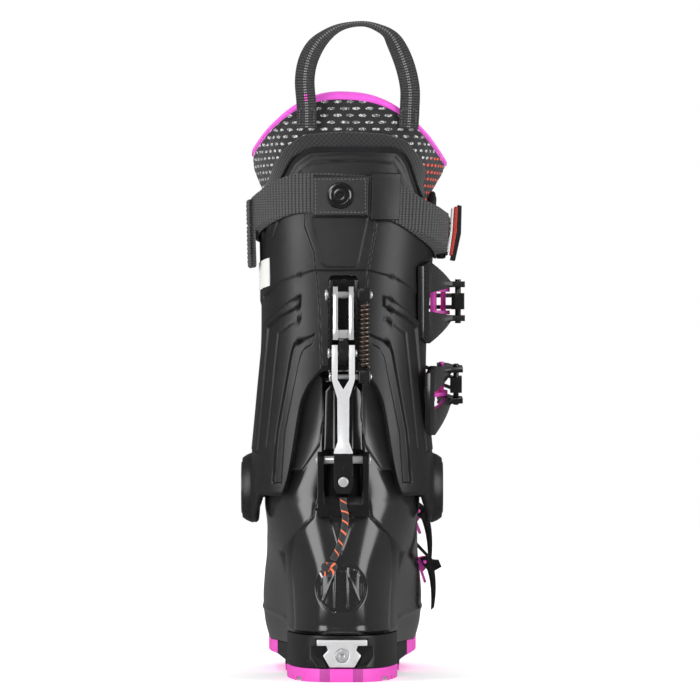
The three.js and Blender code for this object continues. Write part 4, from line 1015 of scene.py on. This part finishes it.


# Each fabric's first colour is its painted shade in the weave's hollows, its second the painted highlight on the raised
# threads.
collar_mesh = fabric("collar_mesh", (0.006, 0.006, 0.007), (0.03, 0.03, 0.032), (0.0074, 0.0042, (0.6, 0.6, 0.6)))
plain_knit = fabric("plain_knit", (0.012, 0.012, 0.013), (0.05, 0.05, 0.052))
felt = fabric("felt", (0.004, 0.004, 0.005), (0.035, 0.035, 0.037), weave=330.0, sheen=0.3)
binding_knit = fabric("pink_binding", (0.75, 0.04, 0.58), (0.98, 0.2, 0.85), weave=1300.0, roughness=0.6)
throat = [(-9, 200), (9, 200), (19, 380), (-19, 380)]


def collar_relief(x, y, z):
    """A slack foam face: two broad quilted swells, and a sewn line under the binding."""
    swell = 0.7 * np.sin((x - 4) / 9.0) * np.sin(z / 11.0) * smoothstep(z, 292, 306)
    return swell - 0.8 * np.exp(-(((liner_top(x, y) - 9.5 - z) / 0.9) ** 2))


liner_turns = even_turns(320, rear_share=1.2)
liner_high = edge_heights(LINER_ROWS, liner_turns, lambda x, y: liner_top(x, y) - 3.0, 340, 0, True)
liner_low = edge_heights(
    LINER_ROWS, liner_turns, lambda x,
    y: np.interp(y, [-80, -23, -11, 22, 60, 140], [188.5, 186.5, 169.5, 151.5, 148.5, 141]), 160, 0, True
)
liner = wall_skin(
    "liner_cuff_skin", LINER_ROWS, liner_turns, liner_low, liner_high, 7.0, collar_relief, levels=120,
    inner_levels=60, with_middle=True
)
carve(liner, prism("xz", throat, 60, 140))
sit(liner, "cuff", collar_mesh, ["liner_cuff"])
paint(
    liner, "lateral_panel", lambda x, y,
    z: smoothstep(x, 49.5, 50.5) * smoothstep(54 - y, 0, 1) * smoothstep(316 + 0.4 * (x - 50) - z, 0, 1)
)

binding_high = edge_heights(LINER_ROWS, liner_turns, liner_top, 345, 0.8, True)
binding = wall_skin(
    "liner_binding_skin", LINER_ROWS, liner_turns, binding_high - 6.5, binding_high, 8.6, levels=8, inner_levels=6,
    closed=True, with_middle=True, outside=0.8, arc=14
)
carve(binding, prism("xz", throat, 60, 140))
sit(binding, "cuff", binding_knit, ["liner_binding"])

tongue_turns = np.linspace(
    turn_at(LINER_ROWS, 260, 0, 26, np.pi, -8, True), turn_at(LINER_ROWS, 260, 0, -22, np.pi, -8, True), 80
)
tongue_high = edge_heights(LINER_ROWS, tongue_turns, lambda x, y: liner_top(x, y) - 8.0, 318, -8.2, True)


def tongue_relief(x, y, z):
    """Quilted rows across the tongue: a cosine of the height, half a millimetre deep."""
    return -0.5 * (1 + np.cos(z / 3.2)) * 0.5


tongue = wall_skin("liner_tongue_skin", LINER_ROWS, tongue_turns, 160, tongue_high, 5.8, tongue_relief, levels=110,
                   inner_levels=30, closed=False, with_middle=True, outside=-8.2)
sit(tongue, "cuff", plain_knit, ["liner_tongue"])

FELT_HIGH = np.array([
    [-50, 294.5], [-41, 314], [-34, 324], [-24, 330.5], [2, 332.5], [26, 331], [40, 327], [49, 315], [57, 294.5]
])
FELT_LOW = np.array([
    [-43, 292], [-38, 303.4], [-30.8, 316.8], [-20.4, 322], [34.6, 322], [41, 315.6], [46, 301], [49, 292]
])
felt_turns = np.linspace(turn_at(LINER_ROWS, 320, 0, -49, 0, 2, True), turn_at(LINER_ROWS, 320, 0, 53, 0, 2, True), 200)
felt_high = edge_heights(
    LINER_ROWS, felt_turns, lambda x, y: np.interp(x, FELT_HIGH[:, 0], FELT_HIGH[:, 1]), 318, 2.4, True
)
felt_low = edge_heights(
    LINER_ROWS, felt_turns, lambda x, y: np.interp(x, FELT_LOW[:, 0], FELT_LOW[:, 1]), 310, 2.4, True
)
felt_low = soften(np.minimum(felt_low, felt_high - 2.4), 9, closed=False)
felt_high = soften(felt_high, 9, closed=False)
collar = wall_skin(
    "felt_collar_skin", LINER_ROWS, felt_turns, felt_low, felt_high, 2.0, levels=30, closed=False, with_middle=True,
    outside=2.4
)
sit(collar, "cuff", felt, ["felt_collar"])

sock = refine("liner_foot", plain_knit, 1.0, 40)

# ---- Power strap and its fittings ----
# A 24 mm ribbed webbing strap lies round the cuff and slopes down towards the shin. Behind, a stitched patch and a
# rosette screw hold it; at the sides it folds back through a keeper, a stitched tab and a buckle.
def strap_low(x, y):
    """The strap's lower edge."""
    droop = np.where(x < 0, 6.5, 8.5) * smoothstep(np.abs(x), 24, 58)
    return 281.0 - 0.08 * x - np.interp(y, [-60, 140], [-7.4, 38.6]) - droop * smoothstep(60 - y, 0, 40)


def strap_slack(x, y, z):
    """The woven ribs, and the strap standing off the cuff at both sides, where it folds back."""
    side = smoothstep(np.abs(x), 38, 58) * smoothstep(62 - y, 0, 40)
    return 0.12 * np.sin(z * 2.0) + np.where(x < 0, 3.2, 6.5) * side


def ribbed_group():
    """Ribbed webbing: rounded ribs across the strap, each split into bumps along V, give the height and paint the
    colour, as painted shade in the grooves and a painted highlight on the rib tops.
    """
    tree, take, give = group(
        "ribbed",
        [("UV", "NodeSocketVector", None), ("Colour", "NodeSocketColor", None), ("Lit thread top", "NodeSocketColor", None),
         ("Pitch", "NodeSocketFloat", 0.0025)],
        [("Colour", "NodeSocketColor"), ("Height", "NodeSocketFloat")],
    )
    u, v = axes(tree, take.outputs["UV"])
    per_rib = math(tree, "DIVIDE", 3.1416, take.outputs["Pitch"])
    per_step = math(tree, "DIVIDE", per_rib, 0.62)
    ribs = math(tree, "ABSOLUTE", math(tree, "SINE", math(tree, "MULTIPLY", u, per_rib)))
    steps = math(tree, "ABSOLUTE", math(tree, "SINE", math(tree, "MULTIPLY", v, per_step)))
    height = math(tree, "MULTIPLY", ribs, math(tree, "MULTIPLY_ADD", steps, 0.6, 0.4))
    # Painted shade and highlight: the colour follows the rib height, dark in the grooves and lit on the tops.
    tree.links.new(blend_colour(tree, height, take.outputs["Colour"], take.outputs["Lit thread top"]), give.inputs["Colour"])
    tree.links.new(height, give.inputs["Height"])
    return tree


RIBBED = ribbed_group()


def webbing(name, colour, thread, pitch=0.0025, centre=None, half_width=0.0):
    """A material of the ribbed group, with a paler band down the middle, pink at the feet, where one is given."""
    made, tree, shader = new_material(name)
    uv = uv_place(tree)
    # colour is the painted shade of the grooves, and thread the painted highlight of the rib tops.
    outputs = place_group(tree, RIBBED, {"UV": uv, "Colour": colour, "Lit thread top": thread, "Pitch": pitch})
    base, height = outputs["Colour"], outputs["Height"]
    if centre is not None:
        u, v = axes(tree, uv)
        band = math(tree, "LESS_THAN", math(tree, "ABSOLUTE", v), half_width)
        dots = math(tree, "MULTIPLY", band, math(tree, "GREATER_THAN", height, 0.55))
        sewn = math(tree, "COMPARE", math(tree, "PINGPONG", u, 0.1195), 0.0185, 0.0021)
        base = blend_colour(tree, dots, base, blend_colour(tree, sewn, centre, (0.75, 0.06, 0.5)))
    tree.links.new(base, shader.inputs["Base Color"])
    tree.links.new(bump(tree, height, 0.7, 0.0006), shader.inputs["Normal"])
    shader.inputs["Roughness"].default_value = 0.6
    shader.inputs["Sheen Weight"].default_value = 0.1
    return made


# Each webbing's first colour is painted shade in the grooves, its second the painted highlight on the rib tops.
strap_webbing = webbing("strap_webbing", (0.004, 0.004, 0.005), (0.075, 0.075, 0.078))
loop_webbing = webbing("loop_webbing", (0.006, 0.006, 0.007), (0.04, 0.04, 0.042), 0.0016, (0.2, 0.2, 0.2), 0.0011)
strap_turns = even_turns(360, rear_share=1.0)
strap_bottom = edge_heights(CUFF_ROWS, strap_turns, strap_low, 285, 3, True)
strap = wall_skin("power_strap_web", CUFF_ROWS, strap_turns, strap_bottom, strap_bottom + 24.4, 2.0,
                  strap_slack, levels=24, inner_levels=8, with_middle=True, outside=3.0, arc=5)
sit(strap, "cuff", strap_webbing, ["power_strap"])


def cuff_patch(name, axis, start, stop, near, low, high, outside, wall, columns=60, levels=24, relief=None):
    """A panel that lies on the cuff between two X (axis 0) or Y (axis 1) values and two heights."""
    turns = np.linspace(turn_at(CUFF_ROWS, (low + high) / 2, axis, start, near, outside, True),
                        turn_at(CUFF_ROWS, (low + high) / 2, axis, stop, near, outside, True), columns)
    made = wall_skin(
        name, CUFF_ROWS, np.sort(turns), low, high, wall, relief, levels=levels, closed=False, with_middle=True,
        outside=outside
    )
    return made


leather = moulded("strap_patch_leather", (0.012, 0.012, 0.013), (0.03, 0.03, 0.031), 0.42, 0.05, 1500, 0.5)
patch = cuff_patch("strap_patch_skin", 0, -17.6, 15.7, 0, 281, 305, 5.0, 1.5)
sit(patch, "cuff", leather, ["strap_patch"])
keeper = cuff_patch(
    "strap_keeper_skin", 0, 18, 35, 0.2, 278.4, 307, 5.2, 1.7, relief=lambda x, y, z: 0.25 * np.cos((z - 292.8) * 0.2)
)
sit(keeper, "cuff", satin_black, ["strap_keeper"])
tab = cuff_patch("strap_tab_skin", 1, 4, 30, -np.pi / 2, 250, 292, 8.2, 3.6, columns=50, levels=60,
                 relief=lambda x, y, z: 0.2 * np.cos(z * 2.4) - 0.5 * np.exp(-(((z - 276) / 0.7) ** 2)))
sit(tab, "cuff", strap_webbing, ["strap_tab"])

# At the lateral side the strap's end folds back on itself, with a red and white edge label in the fold.
label_red = moulded("label_red", (0.5, 0.03, 0.02), (0.4, 0.03, 0.02), 0.6, 0.03, 900, 0.2)
fold = prism("xz", [(66, 255), (69, 254.5), (72.6, 271), (73, 288), (70.4, 288.6), (69.4, 272)], 13, 36)
red_edge = prism("xz", [(65.6, 258), (67.2, 257.6), (69.8, 272), (70.6, 287.4), (68.6, 287.6), (67.6, 272)], 12.4, 34)
white_edge = prism("xz", [(63.6, 260), (65.2, 259.6), (67.2, 272), (68.2, 286.4), (66.8, 286.8), (65.8, 272)], 12.6, 34)
for name, piece, finish in (
    ("strap_fold", fold, strap_webbing), ("strap_label_red", red_edge, label_red),
    ("strap_label_white", white_edge, label_white)
):
    piece.name = name
    round_off = piece.modifiers.new("round", "BEVEL")
    round_off.width, round_off.segments = 0.4 * MM, 2
    apply_modifiers(piece)
    sit(piece, "cuff", finish)


def lathe(name, profile, centre, axis, sides=48):
    """A turned part: (radius, height) pairs in millimetres, swept round an axis through a centre in metres."""
    axis = np.asarray(axis, float) / np.linalg.norm(axis)
    side = np.cross(axis, [0.31, 0.2, 0.93])
    side = side / np.linalg.norm(side)
    up = np.cross(axis, side)
    turn = np.linspace(0, 2 * np.pi, sides, endpoint=False)
    ring = np.cos(turn)[:, None] * side + np.sin(turn)[:, None] * up
    profile = np.asarray(profile, float) * MM
    points = np.asarray(centre) + profile[:, 0, None, None] * ring[None] + profile[:, 1, None, None] * axis
    made = mesh_object(name, points.reshape(-1, 3), grid_faces(len(profile), sides, wrap_rows=True).tolist())
    make_outward(made)
    made.data.set_sharp_from_angle(angle=np.radians(40))
    return made


# The rosette screw in the patch: a domed ring, a dished head and a hex socket.
on_patch = section_points(
    CUFF_ROWS, np.array([turn_at(CUFF_ROWS, 293, 0, -1, 0, 5, True)]), np.array([293.0]), 5.2, True
)[0] * MM
rosette = lathe(
    "strap_rosette",
    [
        (0.01, -1.5), (8, -1.5), (8.3, 0.2), (7.8, 1.1), (6.6, 1.3), (5.6, 0.5), (4.9, 0.5), (4.6, 1.2), (3.4, 1.5),
        (2.0, 1.3), (1.9, 0.3), (0.01, 0.3)
    ],
    on_patch, (0, -1, 0.12)
)
sit(rosette, "cuff", gloss_black)


THREAD_LIFT = 0.15


def stitches(name, points, normal, pitch=3.2, size=(1.9, 0.42)):
    """A row of thread stitches along a line: short six-sided bars laid end to end. Points and normal are in metres."""
    line, _ = smooth_path(points, max(2, int(np.linalg.norm(np.diff(points, axis=0), axis=1).sum() / (pitch * MM))))
    tangent = np.gradient(line, axis=0)
    tangent = tangent / np.linalg.norm(tangent, axis=1)[:, None]
    out = np.broadcast_to(np.asarray(normal, float), line.shape)
    out = out - tangent * (out * tangent).sum(1)[:, None]
    out = out / np.linalg.norm(out, axis=1)[:, None]
    side = np.cross(tangent, out)
    turn = np.linspace(0, 2 * np.pi, 6, endpoint=False)
    rings = []
    for t, r in ((-0.5, 0.35), (-0.3, 1), (0.3, 1), (0.5, 0.35)):
        ring = out[:, None] * np.sin(turn)[None, :, None] + side[:, None] * np.cos(turn)[None, :, None]
        rings.append(line[:, None] + tangent[:, None] * t * size[0] * MM + ring * r * size[1] * MM + out[
            :, None
        ] * THREAD_LIFT * MM)
    points = np.stack(rings, 1).reshape(-1, 3)
    one = grid_faces(4, 6).tolist() + [list(range(6))[::-1], list(range(18, 24))]
    faces = [[24 * k + v for v in face] for k in range(len(line)) for face in one]
    return mesh_object(name, points, faces)


thread = moulded("black_thread", (0.09, 0.09, 0.092), (0.14, 0.14, 0.142), 0.7, 0.03, 6000, 0.4)
border = np.array([(-16, 283), (-16, 303), (14, 303), (14, 283), (-16, 283)], float)
fine = np.vstack([np.linspace(a, b, 9, endpoint=False) for a, b in zip(border[:-1], border[1:])])
turns = np.array([turn_at(CUFF_ROWS, z, 0, x, 0, 5, True) for x, z in fine])
sewn = stitches(
    "patch_stitches", section_points(CUFF_ROWS, turns, fine[:, 1], 5.0, True) * MM, (0, -1, 0), 2.2, (1.5, 0.32)
)
sit(sewn, "cuff", thread)

# ---- Pull loop ----
# A 12 mm webbing loop stands over the heel, to pull the boot on by. It is swept along its path as one ribbon, and is
# sewn to the collar at both feet with a box of stitches.
LOOP_POINTS = np.array([
    [
        -21.4, -13.5, 334.5
    ], [-21.6, -13.5, 348], [-22.6, -14, 364], [-20, -14, 377], [-13.5, -13, 387.5], [-2, -12, 395.5],
    [11.7, -11, 398], [22, -10.5, 395.5], [30, -10, 389.8], [37, -9, 376], [41, -8.2, 360], [41, -6.8, 346], [
        40.4, -6.8, 334.5
    ],
]) * MM


def ribbon(name, path, out, half_width, half_thickness, dish=0.0):
    """A strap swept on a path, with rounded edges; out is its face's direction at each point.

    UVs are the length along it and the distance from its middle.
    """
    tangent = np.gradient(path, axis=0)
    tangent = tangent / np.linalg.norm(tangent, axis=1)[:, None]
    out = out - tangent * (out * tangent).sum(1)[:, None]
    out = out / np.linalg.norm(out, axis=1)[:, None]
    side = np.cross(out, tangent)
    across = np.linspace(-1, 1, 15)
    thick = half_thickness * (1 - np.abs(across) ** 8) ** 0.5 + half_thickness * 0.12
    profile = np.vstack([np.stack([across, thick], 1), np.stack([across, -thick], 1)[::-1]])
    bow = dish * profile[:, 0] ** 2
    sideways, raised_by = (profile[:, 0] * half_width)[None, :, None], (profile[:, 1] - bow)[None, :, None]
    points = path[:, None] + side[:, None] * sideways + out[:, None] * raised_by
    run = np.concatenate([[0], np.cumsum(np.linalg.norm(np.diff(path, axis=0), axis=1))])
    uv = np.stack(np.broadcast_arrays(run[:, None], (profile[:, 0] * half_width)[None]), -1).reshape(-1, 2)
    n, m = len(path), len(profile)
    faces = grid_faces(n, m).tolist() + [list(range(m))[::-1], [(n - 1) * m + k for k in range(m)]]
    made = mesh_object(name, points.reshape(-1, 3), faces, uv)
    make_outward(made)
    return made


loop_path, loop_length = smooth_path(LOOP_POINTS, 240)
run = np.linspace(0, 1, 240)
tilt = 0.42 * np.pi * np.sin(np.pi * smoothstep(run, 0.1, 0.9))
loop = ribbon("pull_loop_web", loop_path, np.stack([0 * run, -np.cos(tilt), np.sin(tilt)], 1), 0.006, 0.0007, 0.0003)
sit(loop, "cuff", loop_webbing, ["pull_loop"])
for k, (x, y) in enumerate(((-21.4, -13.5), (40.4, -6.8))):
    box = np.array([
        [x - 4.4, y - 1.1, 337], [x + 4.4, y - 1.1, 337], [x + 4.4, y - 1.1, 346], [x - 4.4, y - 1.1, 346],
        [x - 4.4, y - 1.1, 337]
    ]) * MM
    fine = np.vstack([np.linspace(a, b, 6, endpoint=False) for a, b in zip(box[:-1], box[1:])])
    sit(stitches(f"loop_stitches_{k}", fine, (0, -1, 0), 2.0, (1.3, 0.3)), "cuff", thread)

# ---- Pivot bosses ----
# Round each ankle pivot the cuff flares out in a turned collar, in which the slotted disc sits. Both are of the cuff's
# own satin black, and are moulded in one with it on the real boot.
BOSS_PROFILE = [
    (21.5, -4.5), (21.2, -3), (20.2, -0.6), (19, 1.2), (18.2, 2.2), (17.2, 2.4), (16.6, 1.6), (16.4, 0), (16.4, -4.5)
]
for name, way in (("medial_pivot_boss", -1), ("lateral_pivot_boss", 1)):
    boss = lathe(name, BOSS_PROFILE, (way * 0.0586, PIVOT[0] * MM, PIVOT[1] * MM), (way, 0, 0), 72)
    sit(boss, "cuff", satin_black)
